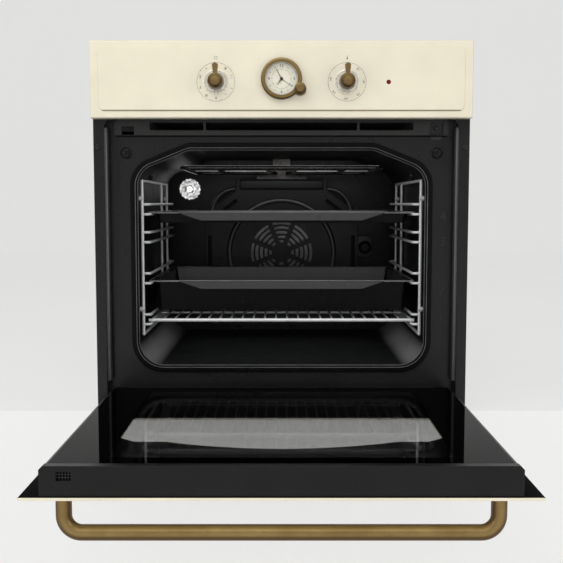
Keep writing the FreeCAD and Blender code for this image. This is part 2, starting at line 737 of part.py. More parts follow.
def make_rear_cover():
    """The rear sheet, with louvres, the mains opening and screw holes."""
    sheet = box(-CASING_HALF, CASING_HALF, REAR_INSIDE_Y, CASING_DEPTH, 0, CASING_ROOF)
    for n in range(LOUVRES):
        x = (n - (LOUVRES - 1) / 2) * LOUVRE_PITCH
        sheet = sheet.cut(box(x - LOUVRE_WIDTH / 2, x + LOUVRE_WIDTH / 2, REAR_INSIDE_Y, CASING_DEPTH,
                              LOUVRE_BOTTOM, LOUVRE_BOTTOM + LOUVRE_LENGTH))
    for x, z in screw_places():
        sheet = sheet.cut(rod(SCREW_SHANK, (x, REAR_INSIDE_Y, z), (x, CASING_DEPTH, z)))
    write("rear_cover", sheet)
    screws = []
    for x, z in screw_places():
        head = rod(SCREW_HEAD, (x, CASING_DEPTH, z), (x, CASING_DEPTH + SCREW_HEAD_HEIGHT, z))
        shank = rod(SCREW_SHANK, (x, CASING_DEPTH - SCREW_LENGTH, z), (x, CASING_DEPTH, z))
        screws.append(head.fuse(shank))
    write("casing_screws", *screws)


def make_terminal_box():
    """The box that the mains lead enters from below."""
    low = TERMINAL_Z - TERMINAL_HEIGHT / 2
    shell = box(TERMINAL_X - TERMINAL_WIDTH / 2, TERMINAL_X + TERMINAL_WIDTH / 2,
                CASING_DEPTH, CASING_DEPTH + TERMINAL_DEPTH, low, low + TERMINAL_HEIGHT)
    inlet_y = CASING_DEPTH + TERMINAL_DEPTH / 2
    inlet = rod(INLET_RADIUS, (TERMINAL_X, inlet_y, low), (TERMINAL_X, inlet_y, low + INLET_LENGTH))
    write("terminal_box", shell.cut(inlet))


# Front frame and what is fixed to it

def recess_outline(grow):
    """The recess seen from the front: square below, rounded above."""
    half = RECESS_HALF + grow
    top = RECESS_TOP + grow
    round_top = RECESS_ROUND + grow
    return [(-half, CASING_WALL, 0), (half, CASING_WALL, 0), (half, top, round_top), (-half, top, round_top)]


def switch_openings(y0, y1):
    """The two openings beside the air slots: the catch on the left and the switch on the right."""
    left = box(CATCH_X - CATCH_WIDTH / 2, CATCH_X + CATCH_WIDTH / 2, y0, y1,
               OPENING_BOTTOM, OPENING_BOTTOM + CATCH_HEIGHT)
    right = box(SWITCH_X - SWITCH_WIDTH / 2, SWITCH_X + SWITCH_WIDTH / 2, y0, y1,
                OPENING_BOTTOM, OPENING_BOTTOM + SWITCH_HEIGHT)
    return left, right


def on_recess_rim(edge):
    """Whether an edge is the bend from a flange into the recess."""
    limits = edge.BoundBox
    level = abs(limits.YMin - FLANGE_Y) + abs(limits.YMax - FLANGE_Y) < FIT
    inside = max(abs(limits.XMin), abs(limits.XMax)) < RECESS_HALF + FIT
    return level and inside and limits.ZMin > CASING_WALL - FIT and limits.ZMax < RECESS_TOP + FIT


def on_mouth_rim(edge):
    """Whether an edge is the bend from the face into the cavity's mouth."""
    limits = edge.BoundBox
    level = abs(limits.YMin - FACE_Y) + abs(limits.YMax - FACE_Y) < FIT
    inside = max(abs(limits.XMin), abs(limits.XMax)) < MOUTH_HALF + FIT
    return level and inside and limits.ZMin > MOUTH_BOTTOM - FIT and limits.ZMax < MOUTH_TOP + FIT


def make_front_frame():
    """The pressed front: side flanges, deep recess and the face round the cavity's mouth.

    The flanges lie on the cabinet, and the plate behind the control panel is stepped clear of it.
    """
    flange = box(-FRONT_HALF, FRONT_HALF, FLANGE_Y, 0, FRONT_BOTTOM, FRONT_TOP)
    clear = box(-RECESS_HALF, RECESS_HALF, FLANGE_Y, 0, FRONT_BOTTOM, CASING_WALL)
    flange = flange.cut(clear).cut(upright_plate(recess_outline(0), FLANGE_Y, 0))
    wall = upright_plate(recess_outline(SHEET), FLANGE_Y, FACE_BACK_Y)
    wall = wall.cut(upright_plate(recess_outline(0), FLANGE_Y, FACE_Y))
    step = box(-RECESS_HALF - SHEET, RECESS_HALF + SHEET, -SEAT, 0, RECESS_TOP + SHEET, FRONT_TOP)
    frame = fused([flange, wall]).cut(step)
    openings = [cavity_prism(0, FACE_Y, FACE_BACK_Y)]
    openings += switch_openings(FACE_Y, FACE_BACK_Y)
    openings.append(box(-DUCT_HALF + DUCT_WALL, DUCT_HALF - DUCT_WALL, FACE_Y, FACE_BACK_Y,
                        SHELF_TOP, SHELF_TOP + DUCT_HEIGHT - DUCT_WALL))
    slot_half = ARM_THICK / 2 + HINGE_SLOT_SIDE
    slot_rise = ARM_HALF_HEIGHT + HINGE_SLOT_RISE
    knob_hole = BUSH_RADIUS + BUSH_CLEARANCE
    for side in SIDES:
        x = side * HINGE_X
        openings.append(box(x - slot_half, x + slot_half, FACE_Y, FACE_BACK_Y,
                            HINGE_Z - slot_rise, HINGE_Z + slot_rise))
        fixing = side * FIXING_X
        openings.append(rod(FIXING_HOLE, (fixing, FLANGE_Y, FIXING_Z), (fixing, 0, FIXING_Z)))
        knob = side * KNOB_SPREAD
        openings.append(rod(knob_hole, (knob, FLANGE_Y, KNOB_Z), (knob, 0, KNOB_Z)))
    half = MOVEMENT_HALF + 2 * FIT
    openings.append(box(-half, half, FLANGE_Y, 0, CLOCK_Z - half, CLOCK_Z + half))
    lamp_hole = INDICATOR_RADIUS + FIT
    openings.append(rod(lamp_hole, (INDICATOR_X, FLANGE_Y, KNOB_Z), (INDICATOR_X, 0, KNOB_Z)))
    frame = frame.cut(Part.makeCompound(openings))
    bends = [e for e in frame.Edges if on_recess_rim(e) or on_mouth_rim(e)]
    write("front_frame", frame.makeFillet(FRAME_BEND, bends))


def make_vent_trim():
    """The slotted strip over the door, through which the cooling air leaves."""
    top = RECESS_TOP - FIT
    outline = [(-TRIM_HALF, TRIM_BOTTOM, 0), (TRIM_HALF, TRIM_BOTTOM, 0),
               (TRIM_HALF, top, TRIM_ROUND), (-TRIM_HALF, top, TRIM_ROUND)]
    strip = upright_plate(outline, TRIM_Y, FACE_Y)
    inside = box(-TRIM_HALF + SHEET, TRIM_HALF - SHEET, TRIM_Y + SHEET, FACE_Y,
                 TRIM_BOTTOM + SHEET, top - TRIM_ROUND)
    strip = strip.cut(inside)
    edge = TRIM_SLOT_WIDE / 2
    slot_top = TRIM_SLOT_BOTTOM + TRIM_SLOT_HEIGHT
    spans = [(-edge, edge)]
    for side in SIDES:
        start = edge + TRIM_SLOT_WEB
        spans.append(sorted((side * start, side * SLOTS_HALF)))
    for x0, x1 in spans:
        strip = strip.cut(box(x0, x1, TRIM_Y, FACE_Y, TRIM_SLOT_BOTTOM, slot_top))
    for opening in switch_openings(TRIM_Y, FACE_Y):
        strip = strip.cut(opening)
    tab_half = SWITCH_WIDTH / 2 - SWITCH_TAB_INSET
    tab = box(SWITCH_X - tab_half, SWITCH_X + tab_half, FACE_Y - SHEET, FACE_Y,
              TRIM_BOTTOM - SWITCH_TAB, TRIM_BOTTOM + SHEET)
    write("vent_trim", fused([strip, tab]))


def make_door_seal():
    """The heat-proof seal round the mouth."""
    inner = SEAL_FROM_MOUTH
    outer = inner + SEAL_WIDTH
    front = DOOR_INSIDE_Y + SEAL_CLEARANCE
    ring = cavity_prism(outer, front, FACE_Y).cut(cavity_prism(inner, front, FACE_Y))
    rim = [e for e in ring.Edges if abs(e.BoundBox.YMax - front) < 1e-6 and e.BoundBox.YLength < 1e-6]
    write("door_seal", ring.makeFillet(SEAL_ROUND, rim))


def make_door_buffers():
    """Two rubber buttons that the door closes against."""
    buttons = []
    for side in SIDES:
        x = side * BUFFER_X
        button = rod(BUFFER_RADIUS, (x, FACE_Y - BUFFER_PROUD, BUFFER_Z), (x, FACE_Y, BUFFER_Z))
        front = [e for e in button.Edges if e.BoundBox.YMax < FACE_Y - BUFFER_PROUD / 2]
        buttons.append(button.makeFillet(BUFFER_PROUD / 2, front))
    write("door_buffers", *buttons)


def make_door_switch():
    """The lamp switch behind the frame, and the plunger that the door presses."""
    bore = PLUNGER_RADIUS + RUNNING_FIT
    body = box(SWITCH_X - SWITCH_WIDTH / 2, SWITCH_X + SWITCH_WIDTH / 2, FACE_BACK_Y,
               FACE_BACK_Y + SWITCH_DEPTH, OPENING_BOTTOM - SHEET, OPENING_BOTTOM + SWITCH_HEIGHT)
    plunger_end = PLUNGER_TIP_Y + PLUNGER_LENGTH
    hole_end = plunger_end + PLUNGER_TRAVEL + FIT
    body = body.cut(rod(bore, (SWITCH_X, FACE_BACK_Y, PLUNGER_Z), (SWITCH_X, hole_end, PLUNGER_Z)))
    write("door_switch", body)
    plunger = rod(PLUNGER_RADIUS, (SWITCH_X, PLUNGER_TIP_Y, PLUNGER_Z), (SWITCH_X, plunger_end, PLUNGER_Z))
    tip = [e for e in plunger.Edges if e.BoundBox.YMax < PLUNGER_TIP_Y + FIT]
    write("door_switch_plunger", plunger.makeFillet(PLUNGER_ROUND, tip))


# Cavity and insulation

def make_cavity():
    """The enamelled liner and its rear wall."""
    liner = cavity_prism(CAVITY_STEP + SHEET, FACE_BACK_Y, CAVITY_BACK_Y)
    write("cavity_liner", liner.cut(cavity_prism(CAVITY_STEP, FACE_BACK_Y, CAVITY_BACK_Y)))
    wall = cavity_prism(CAVITY_STEP + SHEET, CAVITY_BACK_Y, BACK_OUTSIDE_Y)
    write("cavity_back", wall.cut(rear_holes(FIT, CAVITY_BACK_Y, BACK_OUTSIDE_Y, FAN_SHAFT + 2 * FIT)))


def element_legs():
    """Where the heating elements pass the rear wall, as (radius, x, z)."""
    legs = []
    for side in SIDES:
        legs.append((RING_SLEEVE, side * RING_LEG, RING_LEG_Z))
        legs.append((ELEMENT_TUBE, side * GRILL_LEG, GRILL_Z))
        legs.append((ELEMENT_TUBE, side * GRILL_INNER_LEG, GRILL_Z))
    return legs


def rear_holes(clearance, y0, y1, shaft_hole):
    """Holes for the element legs, the lamp and the fan's shaft."""
    holes = [rod(radius + clearance, (x, y0, z), (x, y1, z)) for radius, x, z in element_legs()]
    holes.append(rod(LAMP_SOCKET + clearance, (LAMP_X, y0, LAMP_Z), (LAMP_X, y1, LAMP_Z)))
    holes.append(rod(shaft_hole, (0, y0, FAN_Z), (0, y1, FAN_Z)))
    return Part.makeCompound(holes)


def make_insulation():
    """Mineral wool wrapped round the liner, with room for the bottom element and the motor."""
    inner = CAVITY_STEP + SHEET + WOOL_FIT
    outer = inner + WOOL_THICK
    front = FACE_BACK_Y + WOOL_FIT
    rear = BACK_OUTSIDE_Y + WOOL_FIT
    end = MOTOR_Y - WOOL_FIT
    wool = cavity_prism(outer, front, end).cut(cavity_prism(inner, front, rear))
    floor = CAVITY_FLOOR - SHEET
    pocket_half = BOTTOM_HALF + ELEMENT_TUBE + 2 * WOOL_FIT
    pocket = box(-pocket_half, pocket_half, BOTTOM_FRONT_Y - ELEMENT_TUBE - 2 * WOOL_FIT, end,
                 floor - 2 * ELEMENT_TUBE - 4 * WOOL_FIT, floor)
    motor_hole = MOTOR_POST_CIRCLE + MOTOR_POST + WOOL_FIT
    wool = wool.cut(pocket).cut(rear_holes(2 * WOOL_FIT, rear, end, motor_hole))
    write("insulation", wool)


# Heating, fans and lamp

def make_bottom_element():
    """The element under the floor of the cavity."""
    z = CAVITY_FLOOR - SHEET - ELEMENT_TUBE - WOOL_FIT
    end = MOTOR_Y
    route = [(-BOTTOM_LEG, end), (-BOTTOM_LEG, BOTTOM_REAR_Y), (-BOTTOM_HALF, BOTTOM_REAR_Y),
             (-BOTTOM_HALF, BOTTOM_FRONT_Y), (BOTTOM_HALF, BOTTOM_FRONT_Y), (BOTTOM_HALF, BOTTOM_REAR_Y),
             (BOTTOM_LEG, BOTTOM_REAR_Y), (BOTTOM_LEG, end)]
    write("bottom_element", bent_rod([(x, y, z) for x, y in route], ELEMENT_TUBE, ELEMENT_BEND))


def grill_loop(leg, half, front_y, rear_y):
    """One loop of the grill, from the rear wall forward under the roof and back."""
    end = BACK_OUTSIDE_Y + ELEMENT_TAIL
    route = [(-leg, end), (-leg, rear_y), (-half, rear_y), (-half, front_y),
             (half, front_y), (half, rear_y), (leg, rear_y), (leg, end)]
    return bent_rod([(x, y, GRILL_Z) for x, y in route], ELEMENT_TUBE, ELEMENT_BEND)


def make_grill():
    """The two loops under the roof and the bracket that hangs them from it."""
    outer = grill_loop(GRILL_LEG, GRILL_HALF, GRILL_FRONT_Y, GRILL_REAR_Y)
    inner = grill_loop(GRILL_INNER_LEG, GRILL_HALF - GRILL_LOOP_GAP,
                       GRILL_FRONT_Y + GRILL_LOOP_GAP, GRILL_REAR_Y - GRILL_LOOP_REAR_GAP)
    write("grill_element", outer, inner)
    plate = box(-BRACKET_HALF, BRACKET_HALF, BRACKET_Y, BRACKET_Y + SHEET,
                GRILL_Z - BRACKET_BELOW, GRILL_Z + BRACKET_ABOVE)
    stem = box(-BRACKET_STEM_HALF, BRACKET_STEM_HALF, BRACKET_Y, BRACKET_Y + SHEET, GRILL_Z, CAVITY_ROOF)
    bracket = fused([plate, stem])
    for leg in (GRILL_LEG, GRILL_INNER_LEG):
        for side in SIDES:
            hole = rod(ELEMENT_TUBE + SEAT, (side * leg, BRACKET_Y, GRILL_Z),
                       (side * leg, BRACKET_Y + SHEET, GRILL_Z))
            bracket = bracket.cut(hole)
    write("grill_bracket", bracket)


def make_ring_element():
    """The round element about the convection fan, on two sleeves that pass through the rear wall."""
    ring = Part.makeTorus(RING_RADIUS, ELEMENT_TUBE, V(0, RING_Y, FAN_Z), Y_AXIS)
    end = BACK_OUTSIDE_Y + ELEMENT_TAIL
    legs = [rod(RING_SLEEVE, (side * RING_LEG, RING_Y, RING_LEG_Z), (side * RING_LEG, end, RING_LEG_Z))
            for side in SIDES]
    write("ring_element", fused([ring] + legs))


def cover_outline(shrink):
    """The fan cover from the front: wide below, drawn in by curved shoulders to a neck."""
    half = COVER_HALF - shrink
    neck = COVER_NECK_HALF - shrink
    bottom = COVER_BOTTOM + shrink
    top = COVER_TOP - shrink
    low_round = COVER_ROUND - shrink
    top_round = COVER_TOP_ROUND - shrink
    side_round = COVER_SHOULDER_ROUND - shrink
    neck_round = COVER_NECK_ROUND + shrink
    return [(-half, bottom, low_round), (half, bottom, low_round), (half, COVER_SHOULDER_Z, side_round),
            (neck, COVER_NECK_Z, neck_round), (neck, top, top_round), (-neck, top, top_round),
            (-neck, COVER_NECK_Z, neck_round), (-half, COVER_SHOULDER_Z, side_round)]


def make_fan_cover():
    """The pressed cover in front of the fan, with its ring slots and air outlets."""
    cover = upright_plate(cover_outline(0), COVER_Y, CAVITY_BACK_Y)
    cover = cover.cut(upright_plate(cover_outline(SHEET), COVER_Y + SHEET, CAVITY_BACK_Y))
    front = COVER_Y - DISH_BEAD
    back = COVER_Y + SHEET
    bead = Part.makeTorus(DISH_RADIUS, DISH_BEAD, V(0, COVER_Y, FAN_Z), Y_AXIS)
    bead = bead.common(box(-COVER_HALF, COVER_HALF, front, back - SHEET / 2, COVER_BOTTOM, COVER_TOP))
    cover = fused([cover, bead])
    rings = []
    for n in range(RING_SLOTS):
        inner = RING_FIRST + n * RING_PITCH
        ring = rod(inner + RING_SLOT, (0, front, FAN_Z), (0, back, FAN_Z))
        rings.append(ring.cut(rod(inner, (0, front, FAN_Z), (0, back, FAN_Z))))
    reach = RING_FIRST + RING_SLOTS * RING_PITCH
    spoke = box(0, reach, front, back, FAN_Z - RING_WEB / 2, FAN_Z + RING_WEB / 2)
    spokes = [spoke.rotated(V(0, 0, FAN_Z), Y_AXIS, (n + 0.5) * 360 / RING_SECTORS)
              for n in range(RING_SECTORS)]
    slots = Part.makeCompound(rings).cut(Part.makeCompound(spokes))
    outlets = []
    for side in SIDES:
        middle = side * (COVER_HALF - OUTLET_INSET)
        outlets.append(box(middle - OUTLET_WIDTH / 2, middle + OUTLET_WIDTH / 2, COVER_Y, back,
                           COVER_BOTTOM + OUTLET_FROM_BOTTOM, COVER_SHOULDER_Z - OUTLET_FROM_SHOULDER))
        lower = (side * (COVER_HALF - 2 * OUTLET_INSET), COVER_Y, COVER_SHOULDER_Z - OUTLET_INSET)
        upper = (side * COVER_NECK_HALF, COVER_Y, COVER_NECK_Z - 2 * OUTLET_INSET)
        run = V(*upper) - V(*lower)
        slot = box(0, run.Length, COVER_Y, back, -OUTLET_WIDTH / 2, OUTLET_WIDTH / 2)
        turn = -math.degrees(math.atan2(run.z, run.x))
        slot = slot.rotated(V(0, 0, 0), Y_AXIS, turn)
        outlets.append(slot.translated(V(lower[0], 0, lower[2])))
    write("fan_cover", cover.cut(slots).cut(Part.makeCompound(outlets)))


def make_convection_fan():
    """The fan wheel with its shaft, and the motor behind the wall."""
    disc = rod(FAN_RADIUS, (0, FAN_BACK_Y - SHEET, FAN_Z), (0, FAN_BACK_Y, FAN_Z))
    hub = rod(FAN_HUB, (0, FAN_FRONT_Y, FAN_Z), (0, FAN_BACK_Y, FAN_Z))
    shaft_end = MOTOR_END_Y - SHEET
    shaft = rod(FAN_SHAFT, (0, FAN_FRONT_Y, FAN_Z), (0, shaft_end, FAN_Z))
    blade = box(FAN_RADIUS - SHEET - FAN_BLADE, FAN_RADIUS - SHEET, FAN_FRONT_Y, FAN_BACK_Y - SHEET / 2,
                FAN_Z - SHEET / 2, FAN_Z + SHEET / 2)
    blades = [blade.rotated(V(0, 0, FAN_Z), Y_AXIS, n * 360 / FAN_BLADES) for n in range(FAN_BLADES)]
    write("convection_fan_wheel", fused([disc, hub, shaft] + blades))
    flange = rod(MOTOR_FLANGE, (0, MOTOR_Y, FAN_Z), (0, MOTOR_Y + MOTOR_PLATE, FAN_Z))
    can = rod(MOTOR_RADIUS, (0, MOTOR_Y, FAN_Z), (0, MOTOR_END_Y, FAN_Z))
    pieces = [flange, can]
    for n in range(MOTOR_POSTS):
        angle = math.radians(90 + n * 360 / MOTOR_POSTS)
        x = MOTOR_POST_CIRCLE * math.cos(angle)
        z = FAN_Z + MOTOR_POST_CIRCLE * math.sin(angle)
        pieces.append(rod(MOTOR_POST, (x, BACK_OUTSIDE_Y, z), (x, MOTOR_Y, z)))
    bore = rod(FAN_SHAFT + RUNNING_FIT, (0, MOTOR_Y, FAN_Z), (0, shaft_end + FIT, FAN_Z))
    write("convection_motor", fused(pieces).cut(bore))


def make_lamp():
    """The lamp's glass dome in the cavity and its socket behind the wall."""
    front = CAVITY_BACK_Y - LAMP_LENGTH
    inside = LAMP_RADIUS - LAMP_WALL
    points = [(0, front), (LAMP_CROWN, front + LAMP_CROWN_DROP), (LAMP_RADIUS, front + LAMP_DOME),
              (LAMP_RADIUS, CAVITY_BACK_Y), (inside, CAVITY_BACK_Y), (inside, front + LAMP_DOME),
              (LAMP_CROWN - LAMP_WALL / 2, front + LAMP_CROWN_DROP + LAMP_WALL), (0, front + LAMP_WALL)]
    write("lamp_glass", turned(points, LAMP_X, LAMP_Z))
    end = BACK_OUTSIDE_Y + LAMP_SOCKET_LENGTH
    holder = rod(LAMP_SOCKET, (LAMP_X, CAVITY_BACK_Y, LAMP_Z), (LAMP_X, end, LAMP_Z))
    bulb_front = front + LAMP_CROWN_DROP + LAMP_WALL + BULB_GAP
    bulb = rod(BULB_RADIUS, (LAMP_X, bulb_front, LAMP_Z), (LAMP_X, CAVITY_BACK_Y, LAMP_Z))
    write("lamp_socket", fused([holder, bulb]))


def make_rear_cap():
    """The round cap over the blind opening in the rear wall."""
    front = CAVITY_BACK_Y - CAP_LENGTH
    points = [(0, front), (CAP_FACE, front), (CAP_RADIUS, front + CAP_BEVEL),
              (CAP_RADIUS, CAVITY_BACK_Y), (0, CAVITY_BACK_Y)]
    write("rear_cap", turned(points, CAP_X, CAP_Z))


def make_cooling():
    """The shelf over the cavity, the duct with the blower's drum, and the blower's wheel and motor."""
    shelf = box(-CASING_INSIDE, CASING_INSIDE, FACE_BACK_Y, REAR_INSIDE_Y, DUCT_FLOOR, SHELF_TOP)
    for x, width in ((CATCH_X, CATCH_WIDTH), (SWITCH_X, SWITCH_WIDTH)):
        half = width / 2 + FIT
        notch_end = FACE_BACK_Y + SWITCH_DEPTH + FIT
        shelf = shelf.cut(box(x - half, x + half, FACE_BACK_Y, notch_end, DUCT_FLOOR, SHELF_TOP))
    write("duct_shelf", shelf)
    top = SHELF_TOP + DUCT_HEIGHT
    duct_end = BLOWER_Y - BLOWER_RADIUS / 2
    inside_half = DUCT_HALF - DUCT_WALL
    inside_radius = BLOWER_RADIUS - DUCT_WALL
    outside = box(-DUCT_HALF, DUCT_HALF, FACE_BACK_Y, duct_end, SHELF_TOP, top)
    inside = box(-inside_half, inside_half, FACE_BACK_Y, duct_end - DUCT_WALL, SHELF_TOP, top - DUCT_WALL)
    drum = rod(BLOWER_RADIUS, (0, BLOWER_Y, SHELF_TOP), (0, BLOWER_Y, BLOWER_TOP))
    drum_inside = rod(inside_radius, (0, BLOWER_Y, SHELF_TOP), (0, BLOWER_Y, BLOWER_TOP - DUCT_WALL))
    throat = box(-WHEEL_RADIUS, WHEEL_RADIUS, BLOWER_Y - BLOWER_RADIUS, BLOWER_Y, SHELF_TOP, top - DUCT_WALL)
    inlet = rod(BLOWER_INLET, (0, BLOWER_Y, BLOWER_TOP - DUCT_WALL), (0, BLOWER_Y, BLOWER_TOP))
    write("cooling_duct", fused([outside, drum]).cut(fused([inside, drum_inside, throat])).cut(inlet))
    low = SHELF_TOP + WHEEL_LIFT
    disc = rod(WHEEL_RADIUS, (0, BLOWER_Y, low), (0, BLOWER_Y, low + SHEET))
    hub = rod(WHEEL_HUB, (0, BLOWER_Y, low), (0, BLOWER_Y, low + WHEEL_HEIGHT))
    shaft_top = BLOWER_TOP + BLOWER_MOTOR_HEIGHT / 2
    shaft = rod(WHEEL_SHAFT, (0, BLOWER_Y, low), (0, BLOWER_Y, shaft_top))
    blade_end = WHEEL_RADIUS - SHEET
    blade = box(blade_end - WHEEL_BLADE, blade_end, BLOWER_Y - SHEET / 2, BLOWER_Y + SHEET / 2,
                low + SHEET / 2, low + WHEEL_HEIGHT)
    blades = [blade.rotated(V(0, BLOWER_Y, 0), Z_AXIS, n * 360 / WHEEL_BLADES) for n in range(WHEEL_BLADES)]
    write("cooling_fan_wheel", fused([disc, hub, shaft] + blades))
    motor_top = BLOWER_TOP + BLOWER_MOTOR_HEIGHT
    can = rod(BLOWER_MOTOR_RADIUS, (0, BLOWER_Y, BLOWER_TOP), (0, BLOWER_Y, motor_top))
    arm = box(0, BLOWER_INLET + SPIDER_LAP, BLOWER_Y - SPIDER_WIDTH / 2, BLOWER_Y + SPIDER_WIDTH / 2,
              BLOWER_TOP, BLOWER_TOP + SPIDER_THICK)
    arms = [arm.rotated(V(0, BLOWER_Y, 0), Z_AXIS, 90 + n * 360 / MOTOR_POSTS) for n in range(MOTOR_POSTS)]
    bore = rod(WHEEL_SHAFT + RUNNING_FIT, (0, BLOWER_Y, BLOWER_TOP), (0, BLOWER_Y, shaft_top + FIT))
    write("cooling_fan_motor", fused([can] + arms).cut(bore))


# Racks, trays and shelf

def make_racks():
    """The wire racks on the side walls, with four pairs of runners."""
    wires = []
    for y in (RACK_FRONT_Y, RACK_MIDDLE_Y, RACK_REAR_Y):
        wires.append(rod(RACK_WIRE, (RACK_X, y, RACK_BOTTOM), (RACK_X, y, RACK_TOP)))
    for z in (RACK_BOTTOM, RACK_TOP):
        wires.append(rod(RACK_WIRE, (RACK_X, RACK_FRONT_Y, z), (RACK_X, RACK_REAR_Y, z)))
        for y in (RACK_FRONT_Y, RACK_REAR_Y):
            wires.append(Part.makeSphere(RACK_WIRE, V(RACK_X, y, z)))
    for level in RUNG_LEVELS:
        for z in (level, level + GUARD_RISE):
            route = [(RACK_X, RACK_FRONT_Y, z), (RUNG_X, RACK_FRONT_Y, z),
                     (RUNG_X, RACK_REAR_Y, z), (RACK_X, RACK_REAR_Y, z)]
            wires.append(bent_rod(route, RUNG_WIRE, RUNG_BEND))
    for y in (RACK_FRONT_Y, RACK_REAR_Y):
        for z in (RACK_BOTTOM + STUD_FROM_BOTTOM, RACK_TOP - STUD_FROM_TOP):
            wires.append(rod(STUD_RADIUS, (RACK_X - RACK_WIRE, y, z), (CAVITY_HALF, y, z)))
    rack = fused(wires)
    write("rack_right", rack)
    write("rack_left", mirrored(rack))


def rung_top(rung):
    """The height on which a tray rests, on a pair of runners."""
    return rung + RUNG_WIRE + FIT


def make_tray(node, rung, depth):
    """A pressed tray with a flat rim on all sides and an apron at the front."""
    low = rung_top(rung)
    high = low + TRAY_SHEET
    bottom = low - depth

    def basin(grow, z_low, z_high):
        """The hollow of the tray, narrower at the bottom."""
        half = BASIN_HALF + grow
        front = TRAY_FRONT_Y + BASIN_FROM_ENDS - grow
        rear = TRAY_REAR_Y - BASIN_FROM_ENDS + grow
        upper = rectangle(half, front, rear, BASIN_ROUND)
        lower = rectangle(half - BASIN_DRAFT, front + BASIN_DRAFT, rear - BASIN_DRAFT, BASIN_ROUND)
        return Part.makeLoft([level_loop(lower, z_low), level_loop(upper, z_high)], True, True)

    rim = rectangle(TRAY_HALF, TRAY_FRONT_Y, TRAY_REAR_Y, TRAY_CORNER)
    plate = Part.Face(level_loop(rim, low)).extrude(V(0, 0, TRAY_SHEET))
    foot = LIP_HALF - LIP_SLANT
    lip = [(-foot, low - LIP_DROP, 0), (foot, low - LIP_DROP, 0), (LIP_HALF, high, 0), (-LIP_HALF, high, 0)]
    apron = upright_plate(lip, TRAY_FRONT_Y, TRAY_FRONT_Y + TRAY_SHEET)
    body = fused([plate, basin(TRAY_SHEET, bottom, high), apron])
    write(node, body.cut(basin(0, bottom + TRAY_SHEET, high)))


def make_wire_shelf():
    """The shelf: a frame of thick wire, two cross bars and rows of thin wires on top."""
    z = rung_top(SHELF_RUNG) + SHELF_FRAME
    front = TRAY_FRONT_Y + SHELF_FRAME
    rear = TRAY_REAR_Y - SHELF_FRAME
    wires = [rod(SHELF_FRAME, (-TRAY_HALF, y, z), (TRAY_HALF, y, z)) for y in (front, rear)]
    for side in SIDES:
        x = side * RUNG_X
        wires.append(rod(SHELF_FRAME, (x, front, z), (x, rear, z)))
    for n in range(SHELF_BARS):
        y = front + (n + 1) * (rear - front) / (SHELF_BARS + 1)
        wires.append(rod(SHELF_BAR, (-RUNG_X, y, z), (RUNG_X, y, z)))
    pairs = int((RUNG_X - SHELF_FRAME - SHELF_WIRE) / SHELF_PITCH + 0.5)
    for n in range(pairs):
        for side in SIDES:
            x = side * (n + 0.5) * SHELF_PITCH
            wires.append(rod(SHELF_WIRE, (x, front, z + SHELF_WIRE), (x, rear, z + SHELF_WIRE)))
    write("wire_shelf", fused(wires))


# Control panel

def make_control_panel():
    """The cream front of the controls: a folded pan with a raised field."""
    pan = box(-FRONT_HALF, FRONT_HALF, PANEL_Y, FLANGE_Y, PANEL_BOTTOM, FRONT_TOP)
    rim = [e for e in pan.Edges if e.BoundBox.YMax < PANEL_Y + SHEET]
    pan = pan.makeFillet(PANEL_EDGE_ROUND, rim)
    pan = pan.cut(box(-FRONT_HALF + SHEET, FRONT_HALF - SHEET, PANEL_INSIDE_Y, FLANGE_Y,
                      PANEL_BOTTOM + SHEET, FRONT_TOP - SHEET))
    outline = rectangle(FRONT_HALF - FIELD_MARGIN_SIDE, PANEL_BOTTOM + FIELD_MARGIN_BOTTOM,
                        FRONT_TOP - FIELD_MARGIN_TOP, FIELD_ROUND)
    field = upright_plate(outline, FIELD_Y, PANEL_Y)
    front = [e for e in field.Edges if e.BoundBox.YMax < FIELD_Y + FIT]
    panel = fused([pan, field.makeFillet(FIELD_EDGE, front)])
    holes = []
    for side in SIDES:
        x = side * KNOB_SPREAD
        holes.append(rod(NECK_RADIUS + FIT, (x, FIELD_Y, KNOB_Z), (x, PANEL_INSIDE_Y, KNOB_Z)))
    holes.append(rod(DIAL_HOLE, (0, FIELD_Y, CLOCK_Z), (0, PANEL_INSIDE_Y, CLOCK_Z)))
    holes.append(rod(STEM_RADIUS + FIT, (SETTER_X, FIELD_Y, SETTER_Z), (SETTER_X, PANEL_INSIDE_Y, SETTER_Z)))
    holes.append(rod(INDICATOR_RADIUS, (INDICATOR_X, FIELD_Y, KNOB_Z), (INDICATOR_X, PANEL_INSIDE_Y, KNOB_Z)))
    write("control_panel", panel.cut(Part.makeCompound(holes)))


def make_dial_collars():
    """The raised cream collars under the two knobs."""
    collars = []
    for side in SIDES:
        x = side * KNOB_SPREAD
        points = [(0, COLLAR_FRONT_Y), (COLLAR_TOP_RADIUS, COLLAR_FRONT_Y),
                  (COLLAR_RADIUS - COLLAR_SHOULDER, FIELD_Y - COLLAR_HEIGHT / 2),
                  (COLLAR_RADIUS, FIELD_Y), (0, FIELD_Y)]
        bore = rod(NECK_RADIUS + FIT, (x, COLLAR_FRONT_Y, KNOB_Z), (x, FIELD_Y, KNOB_Z))
        collars.append(turned(points, x, KNOB_Z).cut(bore))
    write("dial_collars", *collars)


